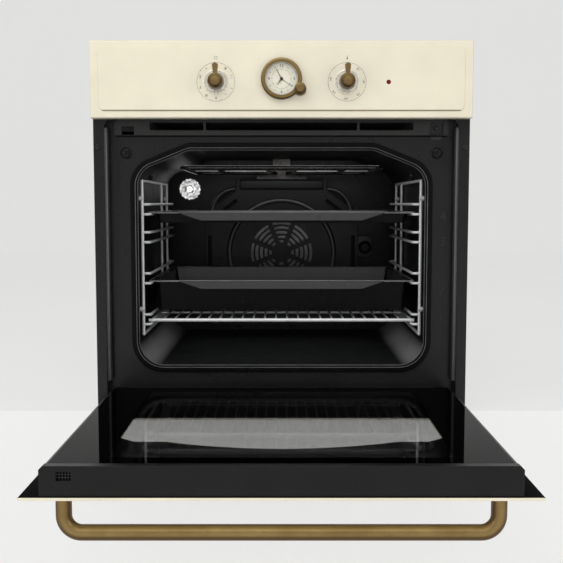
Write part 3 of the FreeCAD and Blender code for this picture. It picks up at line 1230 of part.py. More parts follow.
def make_knob(node, x):
    """A turned knob with a neck, a stem and an upright pointer with a house-shaped tip."""
    waist = KNOB_FRONT_Y + KNOB_CROWN
    points = [(0, KNOB_FRONT_Y), (KNOB_FACE, KNOB_FRONT_Y), (KNOB_RADIUS, waist),
              (KNOB_RADIUS, KNOB_BACK_Y), (NECK_RADIUS, KNOB_BACK_Y), (NECK_RADIUS, PANEL_INSIDE_Y),
              (STEM_RADIUS, PANEL_INSIDE_Y), (STEM_RADIUS, STEM_END_Y), (0, STEM_END_Y)]
    body = turned(points, x, KNOB_Z)
    front = KNOB_FRONT_Y + POINTER_FROM_FRONT
    tip = KNOB_Z + POINTER_REACH
    root = KNOB_Z + KNOB_RADIUS / 2
    flare = tip - POINTER_POINT
    outline = [(x - POINTER_ROOT / 2, root, 0), (x + POINTER_ROOT / 2, root, 0),
               (x + POINTER_TIP / 2, flare, 0), (x, tip, 0), (x - POINTER_TIP / 2, flare, 0)]
    write(node, fused([body, upright_plate(outline, front, front + POINTER_THICK)]))


def make_switches():
    """The selector switch and the thermostat behind the panel."""
    for node, side in (("selector_switch", -1), ("thermostat", 1)):
        x = side * KNOB_SPREAD
        body = box(x - SWITCH_BODY, x + SWITCH_BODY, 0, SWITCH_BODY_DEPTH,
                   KNOB_Z - SWITCH_BODY, KNOB_Z + SWITCH_BODY)
        bush = rod(BUSH_RADIUS, (x, PANEL_INSIDE_Y + FIT, KNOB_Z), (x, 0, KNOB_Z))
        bore = rod(STEM_RADIUS + RUNNING_FIT, (x, PANEL_Y, KNOB_Z), (x, STEM_END_Y + FIT, KNOB_Z))
        write(node, fused([body, bush]).cut(bore))


def make_clock_case():
    """The clock's bezel with the boss of its setting knob, the dial and the glass."""
    ring = rod(BEZEL_RADIUS, (0, BEZEL_FRONT_Y, CLOCK_Z), (0, FIELD_Y, CLOCK_Z))
    boss = rod(BOSS_RADIUS, (SETTER_X, BEZEL_FRONT_Y, SETTER_Z), (SETTER_X, FIELD_Y, SETTER_Z))
    bezel = fused([ring, boss])
    rim = [e for e in bezel.Edges if e.BoundBox.YMax < BEZEL_FRONT_Y + FIT]
    bezel = bezel.makeFillet(BEZEL_ROUND, rim)
    opening = rod(DIAL_RADIUS - BEZEL_LIP_WIDTH, (0, BEZEL_FRONT_Y, CLOCK_Z), (0, FIELD_Y, CLOCK_Z))
    seat = rod(DIAL_RADIUS, (0, GLASS_Y, CLOCK_Z), (0, FIELD_Y, CLOCK_Z))
    stem_hole = rod(STEM_RADIUS + RUNNING_FIT, (SETTER_X, BEZEL_FRONT_Y, SETTER_Z),
                    (SETTER_X, FIELD_Y, SETTER_Z))
    write("clock_bezel", bezel.cut(opening).cut(seat).cut(stem_hole))
    glass = rod(DIAL_RADIUS - SEAT, (0, GLASS_Y, CLOCK_Z), (0, GLASS_Y + GLASS_THICK, CLOCK_Z))
    write("clock_glass", glass)
    dial = rod(DIAL_RADIUS - SEAT, (0, DIAL_Y, CLOCK_Z), (0, FIELD_Y, CLOCK_Z))
    write("clock_dial", dial.cut(rod(DIAL_HOLE, (0, DIAL_Y, CLOCK_Z), (0, FIELD_Y, CLOCK_Z))))


def make_clock_works():
    """The movement behind the panel, the two hands on their shafts and the setting knob."""
    hour = clock_hand(HOUR_HAND, HOUR_WIDTH, HOUR_Y, HOUR_TURN)
    tube = rod(HAND_TUBE, (0, HOUR_Y, CLOCK_Z), (0, HAND_TUBE_END_Y, CLOCK_Z))
    hollow = rod(HAND_SHAFT + RUNNING_FIT, (0, HOUR_Y - HAND_THICK, CLOCK_Z), (0, HAND_TUBE_END_Y, CLOCK_Z))
    write("hour_hand", fused([hour, tube]).cut(hollow))
    minute = clock_hand(MINUTE_HAND, MINUTE_WIDTH, MINUTE_Y, MINUTE_TURN)
    shaft = rod(HAND_SHAFT, (0, MINUTE_Y, CLOCK_Z), (0, HAND_SHAFT_END_Y, CLOCK_Z))
    write("minute_hand", fused([minute, shaft]))
    block = box(-MOVEMENT_HALF, MOVEMENT_HALF, PANEL_INSIDE_Y, PANEL_INSIDE_Y + MOVEMENT_DEPTH,
                CLOCK_Z - MOVEMENT_HALF, CLOCK_Z + MOVEMENT_HALF)
    ear = rod(BOSS_RADIUS, (SETTER_X, PANEL_INSIDE_Y, SETTER_Z), (SETTER_X, FLANGE_Y - FIT, SETTER_Z))
    wide = rod(HAND_TUBE + RUNNING_FIT, (0, PANEL_INSIDE_Y, CLOCK_Z), (0, HAND_TUBE_END_Y + FIT, CLOCK_Z))
    narrow = rod(HAND_SHAFT + RUNNING_FIT, (0, PANEL_INSIDE_Y, CLOCK_Z), (0, HAND_SHAFT_END_Y + FIT, CLOCK_Z))
    socket = rod(STEM_RADIUS + RUNNING_FIT, (SETTER_X, PANEL_INSIDE_Y, SETTER_Z),
                 (SETTER_X, SETTER_END_Y + FIT, SETTER_Z))
    write("clock_movement", fused([block, ear]).cut(wide).cut(narrow).cut(socket))
    back = BEZEL_FRONT_Y - FIT
    front = back - SETTER_HEIGHT
    points = [(0, front), (SETTER_FACE, front), (SETTER_RADIUS, front + SETTER_CROWN), (SETTER_RADIUS, back),
              (STEM_RADIUS, back), (STEM_RADIUS, SETTER_END_Y), (0, SETTER_END_Y)]
    write("clock_setting_knob", turned(points, SETTER_X, SETTER_Z))


def clock_hand(length, width, y, turn):
    """A tapered hand that points up and is then turned clockwise."""
    outline = [(-width / 2, CLOCK_Z, 0), (width / 2, CLOCK_Z, 0),
               (HAND_TIP / 2, CLOCK_Z + length, 0), (-HAND_TIP / 2, CLOCK_Z + length, 0)]
    hand = upright_plate(outline, y - HAND_THICK, y)
    hub = rod(HAND_TUBE + HAND_THICK, (0, y - HAND_THICK, CLOCK_Z), (0, y, CLOCK_Z))
    return fused([hand, hub]).rotated(V(0, 0, CLOCK_Z), Y_AXIS, turn)


def make_indicator():
    """The red lens of the heating lamp, held in the panel."""
    front = FIELD_Y - INDICATOR_DOME
    points = [(0, front), (INDICATOR_FACE, front + INDICATOR_BEVEL), (INDICATOR_RADIUS, FIELD_Y),
              (INDICATOR_RADIUS, FLANGE_Y), (0, FLANGE_Y)]
    write("indicator_lens", turned(points, INDICATOR_X, KNOB_Z))


# Door, modelled shut

def window_wire(y):
    """The arched window: square below, chamfered above, with ledges beside a shallow arch."""
    corners = [V(WINDOW_ARCH_HALF, y, WINDOW_LEDGE_Z), V(WINDOW_LEDGE_HALF, y, WINDOW_LEDGE_Z),
               V(WINDOW_HALF, y, WINDOW_SIDE_TOP), V(WINDOW_HALF, y, WINDOW_BOTTOM),
               V(-WINDOW_HALF, y, WINDOW_BOTTOM), V(-WINDOW_HALF, y, WINDOW_SIDE_TOP),
               V(-WINDOW_LEDGE_HALF, y, WINDOW_LEDGE_Z), V(-WINDOW_ARCH_HALF, y, WINDOW_LEDGE_Z)]
    edges = rounded_edges(corners, [0, 0, 0, WINDOW_LOWER_ROUND, WINDOW_LOWER_ROUND, 0, 0, 0], False)
    edges.append(Part.Arc(corners[-1], V(0, y, WINDOW_ARCH_TOP), corners[0]).toShape())
    return Part.Wire(edges)


def make_door_skin():
    """The cream outer panel with its window opening, and the glass behind the opening."""
    skin = box(-FRONT_HALF, FRONT_HALF, PANEL_Y, SKIN_BACK_Y, DOOR_BOTTOM, DOOR_TOP)
    rim = [e for e in skin.Edges if e.BoundBox.YMax < PANEL_Y + FIT]
    window = Part.Face(window_wire(PANEL_Y)).extrude(V(0, DOOR_SKIN, 0))
    write("door_outer_panel", turned_down(skin.makeFillet(DOOR_SKIN_ROUND, rim).cut(window)))
    half = SIDE_TUBE_INSIDE - WINDOW_GLASS_SIDE_GAP
    pane = box(-half, half, SKIN_BACK_Y, SKIN_BACK_Y + WINDOW_GLASS,
               WINDOW_BOTTOM - WINDOW_GLASS_LAP, WINDOW_ARCH_TOP + WINDOW_GLASS_LAP)
    write("door_window_glass", turned_down(pane))


def make_top_profile():
    """The black bar along the top of the door, with the slot for the catch."""
    bar = box(-PROFILE_HALF, PROFILE_HALF, SKIN_BACK_Y, TUBE_INSIDE_Y, TOP_PROFILE_BOTTOM, TOP_PROFILE_TOP)
    lip = box(-PROFILE_HALF, PROFILE_HALF, TUBE_INSIDE_Y, DOOR_INSIDE_Y,
              INNER_GLASS_TOP + SEAT, TOP_PROFILE_TOP)
    inside_half = PROFILE_HALF - PROFILE_WALL
    hollow = box(-inside_half, inside_half, SKIN_BACK_Y + PROFILE_WALL, TUBE_INSIDE_Y - PROFILE_WALL,
                 TOP_PROFILE_BOTTOM, TOP_PROFILE_TOP - PROFILE_WALL)
    bar = fused([bar, lip]).cut(hollow)
    for side in SIDES:
        tip = side * PROFILE_HALF
        corner = [V(tip, DOOR_INSIDE_Y, TOP_PROFILE_BOTTOM),
                  V(tip - side * PROFILE_CHAMFER, DOOR_INSIDE_Y, TOP_PROFILE_BOTTOM),
                  V(tip, DOOR_INSIDE_Y - PROFILE_CHAMFER, TOP_PROFILE_BOTTOM)]
        bar = bar.cut(Part.Face(Part.makePolygon(corner + corner[:1])).extrude(V(0, 0, TOP_PROFILE)))
    strike_y = TUBE_INSIDE_Y - STRIKE_FROM_GLASS
    strike = box(CATCH_X - STRIKE_WIDTH / 2, CATCH_X + STRIKE_WIDTH / 2, strike_y - STRIKE_HEIGHT, strike_y,
                 TOP_PROFILE_BOTTOM, TOP_PROFILE_TOP)
    write("door_top_profile", turned_down(bar.cut(strike)))


def make_side_profiles():
    """The tubes down the sides of the door, which hold the hinge bodies."""
    tubes = []
    for side in SIDES:
        wide = sorted((side * SIDE_TUBE_INSIDE, side * SIDE_TUBE_OUTSIDE))
        tube = box(*wide, SKIN_BACK_Y, TUBE_INSIDE_Y, SIDE_TUBE_BOTTOM, TOP_PROFILE_BOTTOM)
        bore = box(wide[0] + PROFILE_WALL, wide[1] - PROFILE_WALL, SKIN_BACK_Y + PROFILE_WALL,
                   TUBE_INSIDE_Y - PROFILE_WALL, SIDE_TUBE_BOTTOM, TOP_PROFILE_BOTTOM)
        tubes.append(turned_down(tube.cut(bore)))
    write("door_side_profiles", *tubes)


def make_bottom_profile():
    """The hollow bar along the bottom of the door, rounded where the inner glass starts."""
    half = SIDE_TUBE_INSIDE
    bar = box(-half, half, SKIN_BACK_Y, TUBE_INSIDE_Y, BOTTOM_PROFILE_LOW, INNER_GLASS_BOTTOM)
    nose = box(-half, half, TUBE_INSIDE_Y, DOOR_INSIDE_Y, BOTTOM_PROFILE_LOW, INNER_GLASS_BOTTOM - SEAT)
    bar = fused([bar, nose])
    edge = [e for e in bar.Edges
            if e.BoundBox.YMin > DOOR_INSIDE_Y - SEAT and e.BoundBox.ZMax < BOTTOM_PROFILE_LOW + SEAT]
    hollow = box(-half, half, SKIN_BACK_Y + PROFILE_WALL, TUBE_INSIDE_Y - PROFILE_WALL,
                 BOTTOM_PROFILE_LOW + PROFILE_WALL, INNER_GLASS_BOTTOM - PROFILE_WALL)
    write("door_bottom_profile", turned_down(bar.makeFillet(INNER_GLASS, edge).cut(hollow)))


def make_door_panes():
    """The middle and inner panes."""
    half = SIDE_TUBE_INSIDE - SEAT
    middle = box(-half, half, MIDDLE_GLASS_Y, MIDDLE_GLASS_Y + MIDDLE_GLASS,
                 INNER_GLASS_BOTTOM + SEAT, TOP_PROFILE_BOTTOM - SEAT)
    write("door_middle_glass", turned_down(middle))
    inner = box(-INNER_GLASS_HALF, INNER_GLASS_HALF, TUBE_INSIDE_Y, DOOR_INSIDE_Y,
                INNER_GLASS_BOTTOM, INNER_GLASS_TOP)
    write("door_inner_glass", turned_down(inner))


def make_hinges():
    """Arms fixed in the frame, and the bodies and pins in the door that turn on them."""
    arms = []
    receivers = []
    bodies = []
    pins = []
    low = HINGE_Z - ARM_EYE
    high = low + HINGE_BODY_HEIGHT
    arm_low = HINGE_Z - ARM_HALF_HEIGHT
    arm_high = HINGE_Z + ARM_HALF_HEIGHT
    for side in SIDES:
        x = side * HINGE_X
        x0 = x - ARM_THICK / 2
        x1 = x + ARM_THICK / 2
        eye = rod(ARM_EYE, (x0, HINGE_Y, HINGE_Z), (x1, HINGE_Y, HINGE_Z))
        bar = box(x0, x1, HINGE_Y, ARM_END_Y, arm_low, arm_high)
        hole = rod(PIN_RADIUS + RUNNING_FIT, (x0, HINGE_Y, HINGE_Z), (x1, HINGE_Y, HINGE_Z))
        arms.append(fused([eye, bar]).cut(hole))
        block = box(x - RECEIVER_HALF, x + RECEIVER_HALF, FACE_BACK_Y, FACE_BACK_Y + RECEIVER_DEPTH,
                    CASING_WALL, HINGE_Z + RECEIVER_RISE)
        slot = box(x0 - SEAT, x1 + SEAT, FACE_BACK_Y, ARM_END_Y + SEAT, arm_low - SEAT, arm_high + SEAT)
        receivers.append(block.cut(slot))
        left = x - HINGE_BODY_HALF
        right = x + HINGE_BODY_HALF
        outer = box(left, right, HINGE_BODY_BACK_Y, HINGE_BODY_FRONT_Y, low, high)
        inner = box(left + HINGE_CHEEK, right - HINGE_CHEEK, HINGE_BODY_BACK_Y + HINGE_CHEEK,
                    HINGE_BODY_FRONT_Y, low, high)
        pin = rod(PIN_RADIUS, (left, HINGE_Y, HINGE_Z), (right, HINGE_Y, HINGE_Z))
        bodies.append(turned_down(outer.cut(inner).cut(pin)))
        pins.append(pin)
    write("hinge_arms", *arms)
    write("hinge_receivers", *receivers)
    write("hinge_bodies", *bodies)
    write("hinge_pins", *pins)


def make_handle():
    """The bent brass tube on two feet."""
    route = [(-HANDLE_X, PANEL_Y, HANDLE_Z), (-HANDLE_X, HANDLE_BAR_Y, HANDLE_Z),
             (HANDLE_X, HANDLE_BAR_Y, HANDLE_Z), (HANDLE_X, PANEL_Y, HANDLE_Z)]
    outside = bent_rod(route, HANDLE_RADIUS, HANDLE_BEND)
    inside = bent_rod(route, HANDLE_RADIUS - HANDLE_WALL, HANDLE_BEND)
    feet = [rod(HANDLE_FOOT, (side * HANDLE_X, PANEL_Y - HANDLE_FOOT_LENGTH, HANDLE_Z),
                (side * HANDLE_X, PANEL_Y, HANDLE_Z)) for side in SIDES]
    write("door_handle", turned_down(fused([outside] + feet).cut(inside)))


make_base_pan()
make_side_panels()
make_top_cover()
make_rear_cover()
make_terminal_box()
make_front_frame()
make_vent_trim()
make_door_seal()
make_door_buffers()
make_door_switch()
make_cavity()
make_insulation()
make_bottom_element()
make_grill()
make_ring_element()
make_fan_cover()
make_convection_fan()
make_lamp()
make_rear_cap()
make_cooling()
make_racks()
make_tray("baking_tray", TRAY_RUNG, TRAY_DEPTH)
make_tray("deep_pan", PAN_RUNG, PAN_DEPTH)
make_wire_shelf()
make_control_panel()
make_dial_collars()
make_knob("function_knob", -KNOB_SPREAD)
make_knob("temperature_knob", KNOB_SPREAD)
make_switches()
make_clock_case()
make_clock_works()
make_indicator()
make_door_skin()
make_top_profile()
make_side_profiles()
make_bottom_profile()
make_door_panes()
make_hinges()
make_handle()
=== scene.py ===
# %% [markdown]
# A built-in oven with its drop-down door open.
# The imported CAD model is the fixed frame of this lesson. It is loaded first, in metres, with every node
# already in its place, so that a new piece can be put where the CAD says and needs no fitting.

# %% Load the frame
import json
import math

import bmesh
import bpy
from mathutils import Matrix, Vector


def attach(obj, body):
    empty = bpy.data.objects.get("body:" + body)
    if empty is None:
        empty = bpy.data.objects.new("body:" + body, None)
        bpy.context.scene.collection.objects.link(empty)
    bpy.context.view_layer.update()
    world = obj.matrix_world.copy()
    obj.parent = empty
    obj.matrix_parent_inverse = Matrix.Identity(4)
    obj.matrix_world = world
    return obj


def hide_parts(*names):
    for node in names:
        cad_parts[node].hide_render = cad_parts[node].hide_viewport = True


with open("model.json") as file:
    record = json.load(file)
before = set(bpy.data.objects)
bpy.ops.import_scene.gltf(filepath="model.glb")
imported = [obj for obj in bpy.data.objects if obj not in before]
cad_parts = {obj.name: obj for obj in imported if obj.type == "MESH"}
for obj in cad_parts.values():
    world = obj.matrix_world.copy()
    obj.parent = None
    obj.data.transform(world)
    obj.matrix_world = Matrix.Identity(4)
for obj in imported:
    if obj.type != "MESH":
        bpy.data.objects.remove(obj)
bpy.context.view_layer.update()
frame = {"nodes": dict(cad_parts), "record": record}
MM = 0.001

# %% [markdown]
# Colours are written as a painter reads them, with red, green and blue from 0 to 255.
# Shader sockets want linear light instead, so one small function turns the first into the second.


# %% Colour helpers
def paint(red, green, blue):
    """A linear colour with full alpha, from the 0 to 255 values of a colour chart."""
    linear = []
    for channel in (red, green, blue):
        share = channel / 255
        linear.append(share / 12.92 if share <= 0.04045 else ((share + 0.055) / 1.055) ** 2.4)
    return (*linear, 1.0)


def grey(level):
    """A colour whose red, green and blue are alike."""
    return paint(level, level, level)


CREAM = paint(240, 232, 208)
print("cream as linear light:", [round(v, 3) for v in CREAM])

# %% [markdown]
# Shader node groups hold the effects that several finishes share. A group is built once, with named inputs
# and outputs, and is placed in each material with its own values. Groups give only masks, colours and
# heights; the shader stays in the material. Both are node trees, so one class has the short ways to add nodes.


# %% Node trees and groups
class Nodes:
    """A node tree, with short ways to add the nodes that come up most."""

    def __init__(self, tree):
        self.tree = tree

    def link(self, inputs, links):
        """Fills inputs, each from a socket or with a plain value."""
        for label, source in links:
            if isinstance(source, bpy.types.NodeSocket):
                self.tree.links.new(source, inputs[label])
            else:
                inputs[label].default_value = source

    def add(self, kind, links=(), **values):
        """The outputs of a new node. Links are (input, source) pairs; values are the node's properties."""
        node = self.tree.nodes.new("ShaderNode" + kind)
        for key, value in values.items():
            setattr(node, key, value)
        self.link(node.inputs, links)
        return node.outputs

    def calc(self, operation, *sources):
        """What a Math node makes of its sources."""
        return self.add("Math", enumerate(sources), operation=operation)[0]

    def vector_calc(self, operation, *sources):
        """What a Vector Math node makes of its sources: outputs Vector and Value."""
        return self.add("VectorMath", enumerate(sources), operation=operation)

    def ramp(self, value, first, last, low=0.0, high=1.0):
        """Goes from low to high while a value goes from first to last."""
        limits = [("From Min", first), ("From Max", last), ("To Min", low), ("To Max", high)]
        return self.add("MapRange", [("Value", value)] + limits)["Result"]

    def noise(self, place, scale, detail, roughness=0.5):
        """A cloudy noise between 0 and 1."""
        settings = [("Scale", scale), ("Detail", detail), ("Roughness", roughness)]
        return self.add("TexNoise", [("Vector", place)] + settings)["Fac"]

    def mix(self, factor, first, second):
        """Goes from the first colour to the second as the factor goes from 0 to 1."""
        return self.add("Mix", [("Factor", factor), (6, first), (7, second)], data_type="RGBA")[2]


class Group(Nodes):
    """A shared effect. It is given a place, as Vector, and inputs with default values."""

    def __init__(self, name, outputs, **inputs):
        super().__init__(bpy.data.node_groups.new(name, "ShaderNodeTree"))
        new_socket = self.tree.interface.new_socket
        new_socket("Vector", in_out="INPUT", socket_type="NodeSocketVector")
        for label, value in inputs.items():
            kind = {3: "Vector", 4: "Color"}[len(value)] if isinstance(value, tuple) else "Float"
            new_socket(label, in_out="INPUT", socket_type="NodeSocket" + kind).default_value = value
        for label in outputs:
            kind = "Color" if label == "Colour" else "Float"
            new_socket(label, in_out="OUTPUT", socket_type="NodeSocket" + kind)
        self.given = self.tree.nodes.new("NodeGroupInput").outputs
        self.gives = self.tree.nodes.new("NodeGroupOutput").inputs

    def give(self, **sources):
        """Links what the group has made to its outputs."""
        self.link(self.gives, sources.items())
        print("group:", self.tree.name)


# %% [markdown]
# Mottle is the slow cloudiness that every real surface has: a noise, stretched to a low and a high value.
# It drives roughness, because even a clean sheet reflects a little more here and a little less there.

# %% Mottle group
mottle = Group("mottle", ["Value"], Scale=40.0, Low=0.3, High=0.4)
given = mottle.given
cloud = mottle.noise(given["Vector"], given["Scale"], 4.0, 0.6)
mottle.give(Value=mottle.ramp(cloud, 0.32, 0.68, given["Low"], given["High"]))

# %% [markdown]
# Enamel is glass melted on steel. Its skin has a faint orange peel, and dark oven enamel holds small pale
# flecks of unmelted frit. A Voronoi pattern gives the flecks: only the cells whose own random value is low
# get one, so that they are scattered and not in rows.

# %% Enamel group
enamel = Group("enamel_flecks", ["Colour", "Height"], Colour=(0, 0, 0, 1), Fleck=(1, 1, 1, 1), Scale=700.0,
               Share=0.2, Size=0.25, Peel=260.0)
given = enamel.given
cells = enamel.add("TexVoronoi", [("Vector", given["Vector"]), ("Scale", given["Scale"])])
near = enamel.calc("LESS_THAN", cells["Distance"], given["Size"])
chosen = enamel.calc("LESS_THAN", enamel.add("SeparateColor", [(0, cells["Color"])])[0], given["Share"])
shade = enamel.ramp(enamel.noise(given["Vector"], 14.0, 3.0), 0.3, 0.7, 0.94, 1.04)
tinted = enamel.add("VectorMath", [(0, given["Colour"]), ("Scale", shade)], operation="SCALE")[0]
enamel.give(Colour=enamel.mix(enamel.calc("MULTIPLY", near, chosen), tinted, given["Fleck"]),
            Height=enamel.noise(given["Vector"], given["Peel"], 2.0))

# %% [markdown]
# Edges wear first. The Bevel node rounds the normal near an edge, and where that normal leaves the true one,
# there is an edge. Multiplied with a noise, this gives a broken line of edges instead of a drawn outline. It is
# wear on the zinc, partly wear and partly painted highlight on the black enamel, a painted highlight on the
# door's skin, and partly painted shade on the cream front and the brass.

# %% Edge mask group
edge_group = Group("edge_mask_group", ["Mask"], Radius=0.0008, Amount=1.0, Break=300.0)
given = edge_group.given
rounded = edge_group.add("Bevel", [("Radius", given["Radius"])], samples=4)["Normal"]
alike = edge_group.vector_calc("DOT_PRODUCT", rounded, edge_group.add("NewGeometry")["Normal"])["Value"]
patch = edge_group.ramp(edge_group.noise(given["Vector"], given["Break"], 3.0), 0.35, 0.6)
broken_edge = edge_group.calc("MULTIPLY", edge_group.ramp(alike, 0.995, 0.8), patch)
edge_group.give(Mask=edge_group.calc("MULTIPLY", broken_edge, given["Amount"]))

# %% [markdown]
# Drawn and brushed metal has fine lines along one direction. A noise read in coordinates that are squeezed
# along that direction gives them. The squeeze is an input, so a handle and a bezel can have their own.

# %% Drawn lines group
lines = Group("drawn_lines", ["Value", "Height"], Squeeze=(20.0, 900.0, 900.0), Low=0.3, High=0.45)
given = lines.given
streak = lines.noise(lines.vector_calc("MULTIPLY", given["Vector"], given["Squeeze"])[0], 1.0, 3.0)
lines.give(Value=lines.ramp(streak, 0.3, 0.7, given["Low"], given["High"]), Height=streak)

# %% [markdown]
# Every material starts the same way: a Principled shader and the Object coordinates of the piece. Its sockets
# are fed with patterns, or with values that are the same all over, and a Bump roughens the normal. Short
# helpers place the groups that nearly every finish needs.


# %% Finishes
class Finish(Nodes):
    """A material with its shader, the place in the piece's own coordinates and the normal there."""

    def __init__(self, name, **constants):
        self.material = bpy.data.materials.new(name)
        self.material.use_nodes = True
        super().__init__(self.material.node_tree)
        self.shader = self.tree.nodes["Principled BSDF"]
        coordinates = self.add("TexCoord")
        self.place, self.normal = coordinates["Object"], coordinates["Normal"]
        self.feed(**constants)

    def feed(self, **sources):
        """Sets sockets of the shader, whose names have spaces for the underscores."""
        self.link(self.shader.inputs, [(label.replace("_", " "), source) for label, source in sources.items()])

    def use(self, group, **links):
        """The outputs of a shared effect, placed with its own values."""
        return self.add("Group", [("Vector", self.place), *links.items()], node_tree=group.tree)

    def cloudy(self, scale, low=0.0, high=1.0):
        """Mottle between two values."""
        return self.use(mottle, Scale=scale, Low=low, High=high)["Value"]

    def worn(self, radius, amount):
        """A mask of edges, for a radius in millimetres: wear, painted highlight and painted shade."""
        return self.use(edge_group, Radius=radius * MM, Amount=amount)["Mask"]

    def between(self, value, low, high, soft=0.05 * MM):
        """A mask that is 1 where a value lies between two limits."""
        return self.calc("MULTIPLY", self.ramp(value, low - soft, low), self.ramp(value, high + soft, high))

    def bump(self, height, strength, distance, *links):
        """Lets a height pattern roughen the surface's normal, over a distance in millimetres."""
        settings = [("Height", height), ("Strength", strength), ("Distance", distance * MM)]
        self.feed(Normal=self.add("Bump", settings + list(links))["Normal"])

    def instead(self, other, share):
        """Lets another shader take the place of the Principled one, as far as a share says."""
        both = [("Fac", share), (1, self.shader.outputs["BSDF"]), (2, other)]
        out = next(node for node in self.tree.nodes if node.type == "OUTPUT_MATERIAL")
        self.link(out.inputs, [("Surface", self.add("MixShader", both)[0])])


finishes = {}
own_finish = {}

# %% [markdown]
# The front is steel sheet with cream enamel: warm, half glossy and nearly even. Its edges are painted darker
# with the edge mask, partly as thin enamel at the bends and partly as painted shade, and below the raised
# field a brown line is a painted shadow. The door's skin is the same sheet; its edges are painted lighter, a
# painted highlight along its rolled edge, and its inside is painted black as painted shade. Since the door
# lies open at rest, inside is simply above a certain height.

# %% Cream enamel
FIELD_FOOT = 479.5 * MM
FIELD_FOLD_Y = -22.05 * MM
SKIN_INSIDE_Z = 6.5 * MM
FAR = 1.0


def cream_finish(name, painted_edge_colour, shade_black_above=None):
    """Cream enamel of the front, with painted edges and a painted shadow below the raised field. The skin of
    the door is painted black above a height, on its inner face, as painted shade.
    """
    cream = Finish(name, Coat_Weight=0.25, Coat_Roughness=0.2)
    skin = cream.use(enamel, Colour=CREAM, Fleck=paint(222, 212, 188), Scale=900.0, Share=0.05, Peel=420.0)
    colour = cream.mix(cream.worn(0.9, 0.9), skin["Colour"], painted_edge_colour)
    spot = cream.add("SeparateXYZ", [(0, cream.place)])
    if shade_black_above is None:
        # A band at the foot of the raised field is painted brown: a painted shadow under its lower edge.
        foot = cream.between(spot["Z"], FIELD_FOOT - 0.1 * MM, FIELD_FOOT + 2.0 * MM)
        painted_field_shadow = cream.calc("MULTIPLY", foot, cream.between(spot["Y"], -FAR, FIELD_FOLD_Y))
        colour = cream.mix(painted_field_shadow, colour, paint(146, 134, 106))
    else:
        # The skin's inner face is painted black: painted shade inside the door.
        colour = cream.mix(cream.between(spot["Z"], shade_black_above, FAR), colour, paint(9, 10, 10))
    cream.feed(Base_Color=colour, Roughness=cream.cloudy(22.0, 0.3, 0.42))
    cream.bump(skin["Height"], 0.06, 0.3)
    return cream


# The front's edges are painted darker, partly thin enamel and partly painted shade; the edges of the door's
# skin are painted lighter, a painted highlight.
finishes["cream_enamel"] = cream_finish("cream_enamel", paint(176, 163, 132))
own_finish["door_outer_panel"] = cream_finish("door_skin", paint(252, 247, 230), SKIN_INSIDE_Z)
print("cream finishes:", len(finishes), "shared,", len(own_finish), "of one node")

# %% [markdown]
# The frame, the cavity and the trays are enamelled black. Black enamel lives from its gloss: the colour is
# almost nothing, and what the eye sees are soft reflections, so roughness and bump matter most here. The trim
# in front of the air slots is duller, and so looks a little lighter than the frame around it. Edges are painted
# lighter, partly wear and partly painted highlight. On the trays, the apron and the inside of the rear wall are
# painted grey as painted light, and so are the cavity's lower corners. The duct shelf is painted black as
# painted shade, since it lies in the dark behind the air slots.

# %% Black enamels
TRAY_PAINTED_LIGHT = ((60.0, 71.5, 70), (384.0, 389.2, 106))
LINER_PAINTED_LIGHT_TOP = 130.0


def dark_enamel(name, colour, low, high, share, gloss_level=0.5, painted_light_bands=(), painted_light_corners_below=None):
    """Black oven enamel with a share of pale flecks, between two roughness values, with edges rounded by the
    melt and painted lighter. Painted light bands give stretches of depth, in millimetres, and the grey that is
    painted there as painted light. Round corners that run front to back are painted grey below a height, a
    painted highlight."""
    black = Finish(name, Specular_IOR_Level=gloss_level)
    skin = black.use(enamel, Colour=colour, Fleck=paint(58, 60, 62), Scale=620.0, Share=share, Size=0.22,
                     Peel=300.0)
    # Edges are painted lighter, partly as wear and partly as a painted highlight.
    shown = black.mix(black.worn(0.7, 0.5), skin["Colour"], paint(84, 82, 79))
    spot = black.add("SeparateXYZ", [(0, black.place)])
    # Stretches of depth are painted grey: painted light on the trays' apron and rear wall.
    for front, back, level in painted_light_bands:
        shown = black.mix(black.between(spot["Y"], front * MM, back * MM), shown, grey(level))
    # Low round corners are painted grey: a painted highlight in the cavity's corners.
    if painted_light_corners_below is not None:
        facing = black.add("SeparateXYZ", [(0, black.normal)])
        tilt = black.calc("ABSOLUTE", black.calc("MULTIPLY", facing["X"], facing["Z"]))
        low_down = black.between(spot["Z"], -FAR, painted_light_corners_below * MM)
        shown = black.mix(black.calc("MULTIPLY", black.ramp(tilt, 0.15, 0.48), low_down), shown, grey(118))
    black.feed(Base_Color=shown, Roughness=black.cloudy(16.0, low, high))
    melted = black.add("Bevel", [("Radius", 1.6 * MM)], samples=4)
    black.bump(skin["Height"], 0.08, 0.4, ("Normal", melted["Normal"]))
    return black


# Colour, lowest and highest roughness, share of flecks, gloss.
finishes["black_enamel"] = dark_enamel("black_enamel", grey(26), 0.24, 0.36, 0.05, 0.34)
finishes["tray_enamel"] = dark_enamel("tray_enamel", grey(12), 0.24, 0.34, 0.06, 0.14, TRAY_PAINTED_LIGHT)
own_finish["cavity_liner"] = dark_enamel("liner_enamel", paint(22, 23, 23), 0.36, 0.48, 0.05, 0.26,
                                         painted_light_corners_below=LINER_PAINTED_LIGHT_TOP)
own_finish["vent_trim"] = dark_enamel("trim_enamel", paint(38, 38, 37), 0.34, 0.46, 0.03)
# The duct shelf behind the air slots is painted black: painted shade in the dark behind the slots.
own_finish["duct_shelf"] = dark_enamel("shelf_painted_shade", grey(16), 0.5, 0.6, 0.02, 0.2)
own_finish["door_top_profile"] = dark_enamel("profile_enamel", paint(12, 11, 11), 0.3, 0.42, 0.02, 0.3)
print("finishes of one node:", sorted(own_finish))

# %% [markdown]
# The casing is galvanised steel. Hot zinc freezes in flat crystals, the spangle, each with its own grey.
# A large Voronoi pattern with one value per cell is that spangle, and it also varies the roughness.

